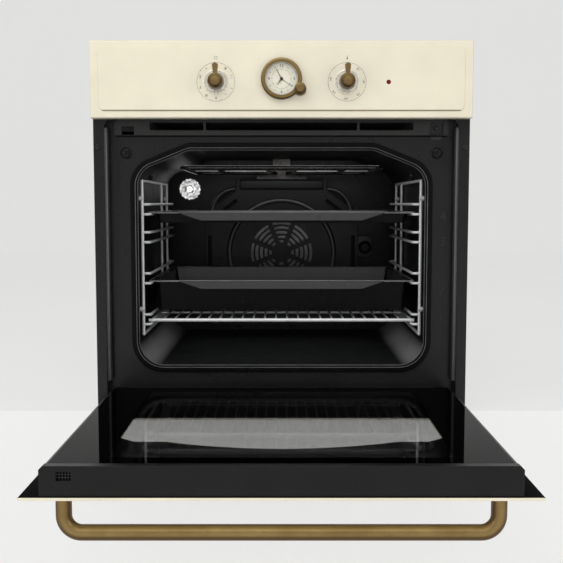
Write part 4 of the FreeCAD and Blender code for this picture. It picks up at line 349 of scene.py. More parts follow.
# %% Galvanised steel
zinc = finishes["galvanised"] = Finish("galvanised", Metallic=1.0)
crystal = zinc.add("TexVoronoi", [("Vector", zinc.place), ("Scale", 130.0), ("Randomness", 1.0)])
spangle = zinc.add("SeparateColor", [(0, crystal["Color"])])
colour = zinc.mix(spangle[0], paint(172, 175, 177), paint(194, 197, 199))
zinc.feed(Base_Color=zinc.mix(zinc.worn(0.9, 0.6), colour, paint(228, 229, 230)),
          Roughness=zinc.ramp(spangle[1], 0.0, 1.0, 0.34, 0.5))
zinc.bump(zinc.cloudy(120.0), 0.05, 0.4)
print("finish:", zinc.material.name)

# %% [markdown]
# Handle, knobs and clock rim are brass with an antique patina: brushed and browned. Fine drawn lines vary
# the roughness and a slow noise the brown. The brass keeps its bright colour where it faces front and up, and
# is painted dark along edges, on the sides and below: painted shade, partly patina, that follows the piece's
# own normal.

# %% Antique brass
PAINTED_LIT_SIDE = (0.0, -1.0, 0.6)
brass = finishes["antique_brass"] = Finish("antique_brass", Metallic=0.8)
brush = brass.use(lines, Squeeze=(60.0, 1500.0, 1500.0), Low=0.3, High=0.44)
colour = brass.mix(brass.cloudy(30.0), paint(156, 130, 80), paint(178, 151, 98))
# Painted shade, partly patina: darker where the normal turns away from the front and the top.
painted_shade_by_facing = brass.ramp(brass.vector_calc("DOT_PRODUCT", brass.normal, PAINTED_LIT_SIDE)["Value"], 0.72, 1.14)
colour = brass.mix(painted_shade_by_facing, paint(92, 71, 42), colour)
# Edges are painted darker too: painted shade, partly patina.
brass.feed(Base_Color=brass.mix(brass.worn(0.9, 0.6), colour, paint(88, 70, 40)), Roughness=brush["Value"])
brass.bump(brush["Height"], 0.06, 0.2)
print("finish:", brass.material.name)

# %% [markdown]
# Plain metals differ only in colour, roughness and how strongly they are brushed. One function makes the
# chrome of the wires, the steel of the hinges and the dull sheath of the heating elements.


# %% Plain metals
def metal_finish(name, dark, pale, low, high, squeeze, strength, metallic=1.0):
    """A bare metal whose colour follows stains and whose roughness follows fine drawn lines."""
    metal = Finish(name, Metallic=metallic)
    brush = metal.use(lines, Squeeze=squeeze, Low=low, High=high)
    metal.feed(Base_Color=metal.mix(metal.cloudy(45.0), dark, pale), Roughness=brush["Value"])
    metal.bump(brush["Height"], strength, 0.2)
    return metal


EVEN = (400.0, 400.0, 400.0)
ALONG = (40.0, 900.0, 900.0)
for name, *values in (  # dark, pale, lowest and highest roughness, squeeze, bump strength, metallic
        ("chrome_wire", paint(226, 227, 228), paint(243, 244, 244), 0.28, 0.38, EVEN, 0.03, 0.3),
        ("plain_steel", grey(150), paint(182, 182, 181), 0.28, 0.42, ALONG, 0.06),
        ("element_steel", paint(64, 63, 61), paint(92, 90, 88), 0.2, 0.3, EVEN, 0.08, 0.85)):
    finishes[name] = metal_finish(name, *values)

# %% [markdown]
# Plastics, rubber, ceramic and the printed dial are not metals. They share one recipe: a colour with a faint
# cloud, a moulded grain as bump, and a roughness between two values.


# %% Plastics and other plain stuffs
def moulded_finish(name, dark, pale, low, high, grain, strength, gloss_level=0.5):
    """A moulded stuff with a fine grain."""
    stuff = Finish(name, Specular_IOR_Level=gloss_level)
    stuff.feed(Base_Color=stuff.mix(stuff.cloudy(60.0), dark, pale),
               Roughness=stuff.cloudy(grain / 4, low, high))
    stuff.bump(stuff.noise(stuff.place, grain, 2.0), strength, 0.3)
    return stuff


for name, *values in (  # dark, pale, lowest and highest roughness, grain, bump strength, gloss
        ("black_plastic", paint(22, 22, 23), paint(34, 34, 35), 0.4, 0.55, 1500.0, 0.15),
        ("pale_plastic", paint(206, 204, 196), paint(222, 220, 212), 0.4, 0.5, 1200.0, 0.1),
        ("buffer_rubber", grey(6), grey(10), 0.22, 0.34, 1800.0, 0.08, 0.3),
        ("lamp_ceramic", paint(216, 212, 200), paint(236, 233, 224), 0.5, 0.65, 1000.0, 0.12),
        ("white_dial", paint(244, 240, 223), paint(249, 245, 231), 0.42, 0.5, 900.0, 0.03),
        ("black_hand", grey(20), paint(34, 33, 32), 0.3, 0.42, 900.0, 0.04)):
    finishes[name] = moulded_finish(name, *values)
print("finishes so far:", sorted(finishes))

# %% [markdown]
# The door seal is a tube of black braid, coated so that grease wipes off, which makes it shine on its crown.
# Two sets of slanting threads cross, so two Wave textures in opposite directions are multiplied, and the
# product is colour, roughness and a slight bump. Mineral wool is a tangle of pale fibres.

# %% Braid and wool
THREAD_SLANT = 0.7
braid = finishes["seal_braid"] = Finish("seal_braid", Specular_IOR_Level=0.12)
waves = []
for slant in (THREAD_SLANT, -THREAD_SLANT):
    slanted = braid.add("Mapping", [("Vector", braid.place), ("Rotation", (0.0, slant, 0.0))])["Vector"]
    wave = braid.add("TexWave", [("Vector", slanted), ("Scale", 260.0), ("Distortion", 0.6)])
    waves.append(wave["Fac"])
crossing = braid.calc("MULTIPLY", *waves)
braid.feed(Base_Color=braid.mix(crossing, grey(5), paint(13, 13, 12)),
           Roughness=braid.ramp(crossing, 0.0, 1.0, 0.36, 0.24))
braid.bump(crossing, 0.12, 0.4)
wool = finishes["mineral_wool"] = Finish("mineral_wool", Sheen_Weight=0.3, Sheen_Roughness=0.6)
fibre = wool.use(lines, Squeeze=(90.0, 500.0, 500.0), Low=0.8, High=0.95)
wool.feed(Base_Color=wool.mix(fibre["Height"], paint(150, 138, 96), paint(206, 196, 156)),
          Roughness=fibre["Value"])
wool.bump(fibre["Height"], 0.6, 1.0)
print("finishes:", braid.material.name, wool.material.name)

# %% [markdown]
# Glass is clear, so light passes it twice: as what the camera sees and as the light that falls behind it.
# The second would make dark shadows under clear panes, so the glass is transparent for rays that carry light.
# Its roughness still has a trace of wiping marks. The panes of the door are coated against glare, so they
# mirror less than plain glass, and they are slightly grey.

# %% Clear glass
PANE_BENDING = 1.085
PANE_GREY = grey(228)
LAMP_GLASS = (paint(250, 251, 252), 0.02, 0.08, 1.45)


def glass_finish(name, tint, low, high, bending):
    """Clear glass. Rays that only carry light meet a transparent shader in its place."""
    glass = Finish(name, Transmission_Weight=1.0, IOR=bending)
    glass.feed(Base_Color=glass.mix(glass.cloudy(5.0), tint, [min(1.0, 1.04 * v) for v in tint]),
               Roughness=glass.cloudy(9.0, low, high))
    ray = glass.add("LightPath")
    lights = glass.calc("MAXIMUM", ray["Is Shadow Ray"], ray["Is Diffuse Ray"])
    glass.instead(glass.add("BsdfTransparent", [("Color", tint)])[0], lights)
    return glass


finishes["window_glass"] = glass_finish("window_glass", paint(252, 252, 250), 0.0, 0.02, 1.1)
finishes["lamp_glass"] = glass_finish("lamp_glass", *LAMP_GLASS)
for pane in ("door_window_glass", "door_middle_glass"):
    own_finish[pane] = glass_finish(pane + "_tint", PANE_GREY, 0.0, 0.02, PANE_BENDING)
print("panes bend light by", PANE_BENDING)

# %% [markdown]
# The inner pane of the door has a black printed border, which hides the profiles that hold it, and is clear
# inside that border. It is one sheet, so it is one material: the print is a colour that follows the place on
# the pane. Distances from the pane's middle are compared with the half sizes of the clear field, and the
# softened result is the mask.

# %% Printed inner pane
PANE_WINDOW_MIDDLE = (0.0, -0.225, 0.0)
PANE_WINDOW_HALF = (0.204, 0.187)
PRINT_SOFT = 0.4 * MM
SEEN_THROUGH = (0.92, 0.94, 0.93, 1.0)
pane = finishes["inner_glass"] = Finish("inner_glass", Transmission_Weight=1.0, IOR=PANE_BENDING)
from_middle = pane.vector_calc("SUBTRACT", pane.place, PANE_WINDOW_MIDDLE)[0]
sides = pane.add("SeparateXYZ", [(0, pane.vector_calc("ABSOLUTE", from_middle)[0])])
insides = [pane.ramp(sides[axis], half + PRINT_SOFT, half - PRINT_SOFT)
           for axis, half in enumerate(PANE_WINDOW_HALF)]
window = pane.calc("MULTIPLY", *insides)
pane.feed(Base_Color=pane.mix(window, paint(3, 4, 4), PANE_GREY), Roughness=pane.cloudy(7.0, 0.0, 0.03))
passes = pane.calc("MULTIPLY", pane.add("LightPath")["Is Shadow Ray"], window)
pane.instead(pane.add("BsdfTransparent", [("Color", SEEN_THROUGH)])[0], passes)
print("finish:", pane.material.name)

# %% [markdown]
# The pilot lens is red plastic with fine rings pressed in its back, which break the light of the lamp.

# %% Red lens
LENS_SHIFT = (-0.166, 0.0, -0.524)
lens = finishes["red_lens"] = Finish("red_lens", Specular_IOR_Level=0.2)
centred = lens.add("Mapping", [("Vector", lens.place), ("Location", LENS_SHIFT)])["Vector"]
rings = lens.add("TexWave", [("Vector", centred), ("Scale", 300.0)], wave_type="RINGS",
                 rings_direction="SPHERICAL")["Fac"]
lens.feed(Base_Color=lens.mix(rings, paint(92, 2, 8), paint(128, 6, 14)),
          Roughness=lens.cloudy(200.0, 0.12, 0.22))
lens.bump(rings, 0.2, 0.2)
print("finish:", lens.material.name)

# %% [markdown]
# Each CAD node now gets the finish of its own material slot in the record, or its own finish where it has one.
# The mesh is not touched: only its material slots are filled.

# %% Dress the CAD nodes
slot_of = {part["node"]: part["material_slot"] for part in frame["record"]["subparts"]}
for node, thing in frame["nodes"].items():
    thing.data.materials.clear()
    thing.data.materials.append(own_finish.get(node, finishes[slot_of[node]]).material)
print("finishes:", len(finishes), "on", len(frame["nodes"]), "nodes")

# %% [markdown]
# Now come the pieces that the CAD model leaves out: thin prints, turned steps, small fittings. Each is modelled
# as by hand: a primitive is added where it belongs, turned into world coordinates at once, and shaped in edit
# mode. These helpers do what every piece needs. Faces are found by where they are or where they look.

# %% Modelling helpers
FRONT = (math.pi / 2, 0.0, 0.0)
SIDEWAYS = (0.0, math.pi / 2, 0.0)


def mm(x, y, z):
    """A place in millimetres, as metres."""
    return (x * MM, y * MM, z * MM)


def only(*pieces):
    """Object mode, with these pieces alone selected and the first of them active."""
    if bpy.context.mode != "OBJECT":
        bpy.ops.object.mode_set(mode="OBJECT")
    bpy.ops.object.select_all(action="DESELECT")
    for piece in pieces:
        piece.select_set(True)
    if pieces:
        bpy.context.view_layer.objects.active = pieces[0]


def start(primitive, **settings):
    """A new primitive, alone, with its place in its mesh, opened in edit mode with all of it selected."""
    only()
    primitive(**settings)
    bpy.ops.object.transform_apply(location=True, rotation=True, scale=True)
    bpy.ops.object.mode_set(mode="EDIT")
    bpy.ops.mesh.select_mode(type="FACE")
    bpy.ops.mesh.select_all(action="SELECT")
    return bpy.context.active_object


def pick(test, kind="faces"):
    """Selects, in edit mode, the parts of the mesh for which the test holds, and nothing else."""
    mesh = bmesh.from_edit_mesh(bpy.context.edit_object.data)
    for group in (mesh.verts, mesh.edges, mesh.faces):
        for part in group:
            part.select_set(False)
    chosen = [part for part in getattr(mesh, kind) if test(part)]
    for part in chosen:
        part.select_set(True)
    bmesh.update_edit_mesh(bpy.context.edit_object.data)
    return len(chosen)


def push(x=0.0, y=0.0, z=0.0):
    """Extrudes what is selected by a move in millimetres."""
    bpy.ops.mesh.extrude_region_move(TRANSFORM_OT_translate={"value": mm(x, y, z)})


def carve(*steps):
    """Insets the selected face and moves it along its normal, both in millimetres, as a lathe cuts steps."""
    for inwards, outwards in steps:
        bpy.ops.mesh.inset(thickness=inwards * MM, depth=outwards * MM)


def raise_each(inwards, outwards):
    """Insets the selected faces one by one and moves each along its normal."""
    bpy.ops.mesh.inset(thickness=inwards * MM, depth=outwards * MM, use_individual=True)


def can(place, radius, depth, vertices, rotation=FRONT):
    """A cylinder of sizes in millimetres, opened in edit mode."""
    return start(bpy.ops.mesh.primitive_cylinder_add, vertices=vertices, radius=radius * MM,
                 depth=depth * MM, location=place, rotation=rotation)


def turned(place, radius, depth, vertices, steps):
    """A short cylinder that faces the front, with steps cut in its front face."""
    piece = can(place, radius, depth, vertices)
    pick(lambda f: f.normal.y < -0.9)
    carve(*steps)
    return piece


def box(place, wide, deep, high):
    """A box of sizes in millimetres, opened in edit mode."""
    piece = start(bpy.ops.mesh.primitive_cube_add, size=MM, location=place)
    bpy.ops.transform.resize(value=(wide, deep, high), center_override=place)
    return piece


def ends(test):
    """A test for edges, from one for the places of both their ends."""
    return lambda edge: all(test(vertex.co) for vertex in edge.verts)


def round_edges(radius, segments, test=None):
    """Bevels the edges for which the test holds, or all of them."""
    bpy.ops.mesh.select_mode(type="EDGE")
    bpy.ops.mesh.select_all(action="SELECT")
    if test:
        pick(test, "edges")
    bpy.ops.mesh.bevel(offset=radius * MM, segments=segments, affect="EDGES")


def apply_modifier(piece, kind, **settings):
    """Makes what a modifier gives the mesh itself."""
    only(piece)
    modifier = piece.modifiers.new(kind.lower(), kind)
    for key, value in settings.items():
        setattr(modifier, key, value)
    bpy.ops.object.modifier_apply(modifier=modifier.name)


def copy_of(piece, x=0.0, y=0.0, z=0.0):
    """A copy with its own mesh, moved by millimetres."""
    only(piece)
    bpy.ops.object.duplicate(linked=False)
    bpy.ops.transform.translate(value=mm(x, y, z))
    return bpy.context.active_object


def mirrored(piece):
    """A copy on the other side of the oven's middle."""
    twin = copy_of(piece)
    twin.scale.x = -1.0
    return twin


def joined(pieces):
    """Several objects made one."""
    only(*pieces)
    bpy.ops.object.join()
    return bpy.context.active_object


def keep(piece, name, body, slot, stands_for=(), finish=None, angle=35):
    """Finishes a piece: doubles merged, faces outwards, place in the mesh, finish and body."""
    only(piece)
    bpy.ops.object.transform_apply(location=True, rotation=True, scale=True)
    bpy.ops.object.mode_set(mode="EDIT")
    bpy.ops.mesh.select_all(action="SELECT")
    bpy.ops.mesh.remove_doubles(threshold=0.001 * MM)
    bpy.ops.mesh.normals_make_consistent(inside=False)
    bpy.ops.object.mode_set(mode="OBJECT")
    bpy.ops.object.shade_smooth_by_angle(angle=math.radians(angle))
    piece.name = piece.data.name = name
    piece.data.materials.clear()
    piece.data.materials.append((finish or finishes[slot]).material)
    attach(piece, body)
    if stands_for:
        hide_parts(*stands_for)
    print("piece:", name, len(piece.data.polygons), "faces on", body)


def keep_pair(left, right, name, *where, **more):
    """Finishes a left piece and a right piece that are alike."""
    keep(left, name + "_left", *where, **more)
    keep(right, name + "_right", *where, **more)


# %% [markdown]
# A knob turns in a round collar on the panel. It could be a plain disc, but a real one is turned or pressed
# with a rim, a groove and a dished top, and the light breaks on each of these steps. So the disc's front face
# is inset and moved again and again, once for each step. The second collar is a copy.

# %% Dial collars
KNOB_X = 101.5
KNOB_Z = 524.0
PANEL_FRONT = -23.2
COLLAR_STEPS = ((0.5, 0.4), (1.5, 0.15), (0.3, -0.5), (0.5, 0.0), (0.4, 1.0), (2.1, 2.4), (0.7, 0.45),
                (4.6, -0.7), (0.2, -2.6))
collar = turned(mm(-KNOB_X, PANEL_FRONT - 0.5, KNOB_Z), radius=19.5, depth=1.0, vertices=96, steps=COLLAR_STEPS)
satin = metal_finish("collar_satin", paint(226, 220, 206), paint(238, 233, 220), 0.24, 0.34, EVEN, 0.03, 0.55)
keep_pair(collar, copy_of(collar, 2 * KNOB_X), "dial_collar", "oven_body", "cream_enamel", ["dial_collars"],
          satin)

# %% [markdown]
# On each knob sits a thin turned cap with a raised rim and a gently domed middle. It is soldered on, so it
# turns with its knob and rides on the knob's body.

# %% Knob caps
KNOB_FRONT = -49.0
CAP_STEPS = ((0.35, 0.35), (0.7, 0.0), (0.35, -0.4), (1.6, 0.25), (2.0, 0.2), (1.6, 0.1))
cap = turned(mm(-KNOB_X, KNOB_FRONT, KNOB_Z), radius=7.9, depth=0.4, vertices=64, steps=CAP_STEPS)
for piece, knob in ((cap, "function_knob"), (copy_of(cap, 2 * KNOB_X), "temperature_knob")):
    keep(piece, knob + "_cap", knob, "antique_brass")

# %% [markdown]
# The scales are screen printed. Ink is a layer of a few hundredths of a millimetre, so each mark is drawn flat
# on the panel and then given that thickness, all at once. A ring is a disc with its middle taken out, a bar is
# a square that is stretched, and a mark that repeats round a dial is made once and spun as copies.

# %% Ink helpers
INK_THICK = 0.07
INK_OVER = 0.005


def ink_dot(x, y, z, radius, vertices=20):
    """A printed dot."""
    bpy.ops.mesh.primitive_circle_add(vertices=vertices, radius=radius * MM, fill_type="NGON",
                                      location=mm(x, y, z), rotation=FRONT)


def ink_ring(x, y, z, radius, width):
    """A printed ring of an outer radius and a line width."""
    ink_dot(x, y, z, radius=radius, vertices=72)
    bpy.ops.mesh.inset(thickness=width * MM)
    bpy.ops.mesh.delete(type="FACE")


def ink_bar(x, y, z, width, height):
    """A printed bar, upright or lying."""
    bpy.ops.mesh.primitive_plane_add(size=MM, location=mm(x, y, z), rotation=FRONT)
    bpy.ops.transform.resize(value=(width, 1.0, height), center_override=mm(x, y, z))


def turn_clockwise(x, y, z, angle):
    """Turns what is selected about a dial's middle."""
    bpy.ops.transform.rotate(value=-math.radians(angle), orient_axis="Y", center_override=mm(x, y, z))


def spin_copies(x, y, z, first, apart, count):
    """Turns what is selected clockwise about a dial's middle to a first angle and adds further copies."""
    if first:
        turn_clockwise(x, y, z, first)
    bpy.ops.mesh.spin(steps=count - 1, dupli=True, angle=math.radians(apart * (count - 1)),
                      center=mm(x, y, z), axis=(0, -1, 0))


def on_dial(x, z, radius, angle):
    """The place at a clockwise angle from the top of a dial."""
    return x + radius * math.sin(math.radians(angle)), z + radius * math.cos(math.radians(angle))


def ink_blank(y):
    """An empty mesh to print on: a circle whose points are deleted again."""
    sheet = start(bpy.ops.mesh.primitive_circle_add, radius=MM, location=mm(0, y, 0), rotation=FRONT)
    bpy.ops.mesh.delete(type="VERT")
    return sheet


def ink_layer():
    """Gives all the marks their thickness."""
    bpy.ops.mesh.select_all(action="SELECT")
    push(y=-INK_THICK)


def lettering(body, size, x, y, z, turn=0.0, thick=INK_THICK, rounding=0.0):
    """A numeral as a mesh that faces the front, turned clockwise about its own middle."""
    only()
    bpy.ops.object.text_add(location=mm(x, y - thick / 2, z), rotation=(math.pi / 2, math.radians(turn), 0))
    figure = bpy.context.active_object.data
    figure.body = body
    figure.size = size * MM
    figure.extrude = (thick / 2 - rounding) * MM
    figure.bevel_depth = rounding * MM
    figure.align_x = figure.align_y = "CENTER"
    bpy.ops.object.convert(target="MESH")
    return bpy.context.active_object


print("ink:", INK_THICK, "mm thick")

# %% [markdown]
# The left dial selects how the oven heats. Its scale is a thin ring with ten places: one free place at the top
# and nine plain symbols, made of a bar for the upper heat, a bar for the lower heat, a cross for the fan and a
# ring for the ring heater. A small ring above the dial says that this is the selector.

# %% Function scale
INK_BACK = PANEL_FRONT + 0.01
RING_RADIUS = 29.7
RING_LINE = 0.35
TICK_RADIUS = RING_RADIUS - 0.9
SYMBOL_RADIUS = 25.4
SYMBOL_LINE = 0.5
HEAT_BAR = 3.6
HEAT_RISE = 1.9
FAN_BAR = 2.4
SIGN_RISE = 37.0
SYMBOLS = ("ring dot", "top bottom", "bottom", "top", "top fan", "ring fan", "bottom fan", "top bottom fan",
           "fan")
PLACES = len(SYMBOLS) + 1
PLACE_TURN = 360 / PLACES
function_scale = ink_blank(INK_BACK)
ink_ring(-KNOB_X, INK_BACK, KNOB_Z, radius=RING_RADIUS, width=RING_LINE)
ink_ring(-KNOB_X, INK_BACK, KNOB_Z + SIGN_RISE, radius=2.4, width=0.45)
for place_number, symbol in enumerate(SYMBOLS, 1):
    x, z = on_dial(-KNOB_X, KNOB_Z, SYMBOL_RADIUS, PLACE_TURN * place_number)
    if "top" in symbol:
        ink_bar(x, INK_BACK, z + HEAT_RISE, width=HEAT_BAR, height=SYMBOL_LINE)
    if "bottom" in symbol:
        ink_bar(x, INK_BACK, z - HEAT_RISE, width=HEAT_BAR, height=SYMBOL_LINE)
    if "fan" in symbol:
        ink_bar(x, INK_BACK, z, width=FAN_BAR, height=SYMBOL_LINE)
        ink_bar(x, INK_BACK - INK_OVER, z, width=SYMBOL_LINE, height=FAN_BAR)
    if "ring" in symbol:
        ink_ring(x, INK_BACK, z, radius=2.0, width=0.45)
    if "dot" in symbol:
        ink_dot(x, INK_BACK, z, radius=0.8)
ink_bar(-KNOB_X, INK_BACK, KNOB_Z + TICK_RADIUS, width=0.4, height=1.6)
spin_copies(-KNOB_X, INK_BACK, KNOB_Z, first=PLACE_TURN / 2, apart=PLACE_TURN, count=PLACES)
ink_layer()
keep(function_scale, "function_scale", "oven_body", "black_hand")

# %% [markdown]
# The right dial sets the temperature. Numbers stand every 48 degrees of turn with their feet to the middle, and
# a short line stands at every fifth of that. A small stroke with a bulb above the dial shows a thermometer.

# %% Temperature scale
FIRST_TURN = 40.0
TURN_PER_NUMBER = 48.0
NUMBERS = range(50, 301, 50)
NUMBER_SIZE = 4.2
LINES_PER_NUMBER = 5
STROKE_RISE = 38.0
BULB_RISE = 35.6
temperature_scale = ink_blank(INK_BACK)
ink_ring(KNOB_X, INK_BACK, KNOB_Z, radius=RING_RADIUS, width=RING_LINE)
ink_bar(KNOB_X, INK_BACK, KNOB_Z + STROKE_RISE, width=0.7, height=3.6)
ink_dot(KNOB_X, INK_BACK - INK_OVER, KNOB_Z + BULB_RISE, radius=1.1)
ink_bar(KNOB_X, INK_BACK, KNOB_Z + TICK_RADIUS, width=0.3, height=1.5)
spin_copies(KNOB_X, INK_BACK, KNOB_Z, first=FIRST_TURN, apart=TURN_PER_NUMBER / LINES_PER_NUMBER,
            count=LINES_PER_NUMBER * (len(NUMBERS) - 1) + 1)
ink_layer()
figures = [temperature_scale]
for order, number in enumerate(NUMBERS):
    turn = FIRST_TURN + TURN_PER_NUMBER * order
    x, z = on_dial(KNOB_X, KNOB_Z, SYMBOL_RADIUS + 0.2, turn)
    figures.append(lettering(str(number), NUMBER_SIZE, x, INK_BACK, z, turn))
keep(joined(figures), "temperature_scale", "oven_body", "black_hand")

# %% [markdown]
# The clock's dial is printed too: a minute track with a stroke for each minute, an inner ring with a stroke for
# each hour, dots at the hours and the four main numbers. A thin third hand, close to the dial, marks the time
# at which the alarm rings.

# %% Clock print and alarm hand
CLOCK_Z = 528.5
DIAL_FRONT = -24.4
DIAL_INK = DIAL_FRONT + 0.01
ALARM_Y = DIAL_FRONT - 0.3
ALARM_TURN = 125
ALARM_LENGTH = 19.0
MINUTE_RING, MINUTE_STROKE = 24.6, 23.9
HOUR_RING, HOUR_STROKE = 15.2, 14.4
HOUR_DOT, HOUR_NUMBER = 19.8, 19.6
HOUR_SIZE = 6.4
clock_print = ink_blank(DIAL_INK)
ink_ring(0, DIAL_INK, CLOCK_Z, radius=MINUTE_RING, width=0.25)
ink_ring(0, DIAL_INK, CLOCK_Z, radius=HOUR_RING, width=0.2)
ink_bar(0, DIAL_INK - INK_OVER, CLOCK_Z + MINUTE_STROKE, width=0.25, height=1.2)
spin_copies(0, DIAL_INK, CLOCK_Z, first=0, apart=6, count=60)
ink_bar(0, DIAL_INK - INK_OVER, CLOCK_Z + HOUR_STROKE, width=0.4, height=1.5)
spin_copies(0, DIAL_INK, CLOCK_Z, first=0, apart=30, count=12)
for after_number in (30, 120, 210, 300):
    ink_dot(0, DIAL_INK, CLOCK_Z + HOUR_DOT, radius=0.6)
    spin_copies(0, DIAL_INK, CLOCK_Z, first=after_number, apart=30, count=2)
ink_layer()
figures = [clock_print]
for body, angle in (("12", 0), ("3", 90), ("6", 180), ("9", 270)):
    x, z = on_dial(0, CLOCK_Z, HOUR_NUMBER, angle)
    figures.append(lettering(body, HOUR_SIZE, x, DIAL_INK, z))
keep(joined(figures), "clock_print", "oven_body", "black_hand")
alarm_hand = can(mm(0, ALARM_Y, CLOCK_Z), radius=1.6, depth=0.2, vertices=32)
pick(lambda f: f.normal.z > 0.98)
push(z=ALARM_LENGTH)
bpy.ops.mesh.select_all(action="SELECT")
turn_clockwise(0, ALARM_Y, CLOCK_Z, ALARM_TURN)
keep(alarm_hand, "alarm_hand", "oven_body", "black_hand")

# %% [markdown]
# Beside the cavity the levels of the trays are numbered from below. The figures are pressed into the sheet
# from behind and so stand out a little, in the same enamel as the face. They are shown in the trim's lighter
# enamel, a painted highlight on the raised figures. They are cut from text with a rounded edge.

# %% Level numerals
FACE_FRONT = 21.0
LEVEL_SIZE = 20.0
LEVELS = (("4", 261.1, 314.7), ("3", 261.7, 274.3), ("2", 259.7, 194.5), ("1", 260.5, 146.9))
figures = [lettering(body, LEVEL_SIZE, x, FACE_FRONT + 0.05, z, thick=0.6, rounding=0.15)
           for body, x, z in LEVELS]
# The trim's lighter enamel on the figures is a painted highlight.
keep(joined(figures), "level_numerals", "oven_body", "black_enamel", finish=own_finish["vent_trim"], angle=60)

# %% [markdown]
# The oven lamp stands behind a pressed glass dome that screws into the rear wall. Ribs round its rim give the
# fingers a grip, and its front is rounded in steps. The dome starts as an open can: every third side face is
# raised as a rib, the front face is inset step by step, some faces of the slope are pressed in as dimples, and
# Solidify gives the wall its thickness. Its glass has a painted glow, with painted glints on its facets, for
# the bulb's light in it.

# %% Lamp dome
LAMP_X = -192.0
LAMP_Z = 366.0
WALL_FRONT = 466.0
DOME_SIDES = 48
DOME_DEPTH = 9.0
DOME_STEPS = ((1.2, 0.8), (0.6, -0.5), (1.6, 1.8), (2.6, 3.4), (3.4, 2.6), (3.6, 1.6), (3.4, 0.6))
LARGE_FACE = 1e-4
dome = can(mm(LAMP_X, WALL_FRONT - DOME_DEPTH / 2, LAMP_Z), radius=21.2, depth=DOME_DEPTH, vertices=DOME_SIDES)
pick(lambda f: f.normal.y > 0.9)
bpy.ops.mesh.delete(type="FACE")


def side_number(x, z):
    """Counts the dome's sides round its axis."""
    return round(math.degrees(math.atan2(x, z)) / (360 / DOME_SIDES) - 0.5)


def rib_face(face):
    """Every third of the dome's side faces."""
    return abs(face.normal.y) <= 0.1 and side_number(face.normal.x, face.normal.z) % 3 == 0


def dimple_face(face):
    """Every fourth face of the dome's sloping ring."""
    place = face.calc_center_median() - Vector(mm(LAMP_X, 0, LAMP_Z))
    slopes = 14.5 < math.hypot(place.x, place.z) / MM < 18.5 and face.normal.y < -0.3
    return slopes and side_number(place.x, place.z) % 4 == 0


print("ribs:", pick(rib_face))
raise_each(inwards=0.35, outwards=1.1)
pick(lambda f: f.normal.y < -0.9 and f.calc_area() > LARGE_FACE)
carve(*DOME_STEPS)
print("dimples:", pick(dimple_face))
raise_each(inwards=0.5, outwards=-0.7)
apply_modifier(dome, "SOLIDIFY", thickness=1.6 * MM, offset=-1.0)
# The dome's glass glows though it is no lamp: a painted glow with painted glints.
painted_glow_glass = glass_finish("painted_glow_glass", *LAMP_GLASS)
facet = painted_glow_glass.add("TexVoronoi", [("Vector", painted_glow_glass.place), ("Scale", 210.0)])["Distance"]
painted_glint = painted_glow_glass.mix(painted_glow_glass.ramp(facet, 0.75, 0.3), paint(16, 16, 17), paint(246, 247, 248))
painted_glow_glass.feed(Emission_Strength=0.32, Emission_Color=painted_glint)
keep(dome, "lamp_dome", "oven_body", "lamp_glass", ["lamp_glass"], painted_glow_glass, angle=25)

# %% [markdown]
# Inside the dome burns a small bulb. It is the one piece that gives light of its own: its emission is white,
# a little brighter where the filament is, so that the dome seems lit from within.

# %% Bulb
BULB_STEPS = ((0.9, 1.5), (1.6, 1.3), (2.2, 0.9), (2.6, 0.4))
FILAMENT = mm(LAMP_X, 452.0, LAMP_Z)
glow = Finish("bulb_glow", Emission_Strength=1.5)
from_heart = glow.vector_calc("SUBTRACT", glow.place, FILAMENT)[0]
heart = glow.ramp(glow.vector_calc("LENGTH", from_heart)["Value"], 11.0 * MM, 2.0 * MM)
glow.feed(Base_Color=glow.mix(glow.cloudy(90.0), paint(244, 240, 230), paint(252, 250, 246)),
          Roughness=glow.cloudy(300.0, 0.45, 0.6),
          Emission_Color=glow.mix(heart, paint(206, 207, 209), paint(255, 255, 253)))
bulb = turned(mm(LAMP_X, 460.9, LAMP_Z), radius=9.9, depth=10.0, vertices=32, steps=BULB_STEPS)
keep(bulb, "oven_bulb", "oven_body", "lamp_glass", finish=glow, angle=60)

# %% [markdown]
# In the top edge of the door is the opening for the lock. A small grating stands back in it, as in a moulded
# insert: a grid whose fields are inset and taken out, and whose bars are then extruded.

# %% Lock grating
GRATING = mm(-246.0, -444.0, 30.25)
GRATING_SIZE = (17.4, 1.0, 10.9)
grating = start(bpy.ops.mesh.primitive_grid_add, x_subdivisions=5, y_subdivisions=3, size=MM,
                location=GRATING, rotation=FRONT)
bpy.ops.transform.resize(value=GRATING_SIZE, center_override=GRATING)
raise_each(inwards=0.4, outwards=0.0)
bpy.ops.mesh.delete(type="FACE")
bpy.ops.mesh.select_all(action="SELECT")
push(y=3.0)
keep(grating, "lock_grating", "door", "black_plastic")

# %% [markdown]
# The side racks hang on studs, and a black nut holds each of them to the cavity wall. A nut is a short
# cylinder: its side faces are raised one by one as grip ribs, and its front is stepped and rounded.

# %% Rack nuts
CAVITY_WALL_X = -236.0
NUT_LENGTH = 7.0
NUT_STEPS = ((0.8, 1.0), (1.2, 0.6), (1.0, -0.5), (1.0, 0.0))
nut = can(mm(CAVITY_WALL_X + NUT_LENGTH / 2, 165.0, 384.0), radius=6.4, depth=NUT_LENGTH, vertices=24,
          rotation=SIDEWAYS)
pick(lambda f: abs(f.normal.x) < 0.1)
raise_each(inwards=0.3, outwards=0.6)
pick(lambda f: f.normal.x > 0.9)
carve(*NUT_STEPS)
keep_pair(nut, mirrored(nut), "rack_nut", "oven_body", "black_enamel")

# %% [markdown]
# Two rubber buffers soften the blow of the closing door. Each is a button with a rolled rim, a groove and a low
# crown, turned in steps from a short cylinder like the collars.

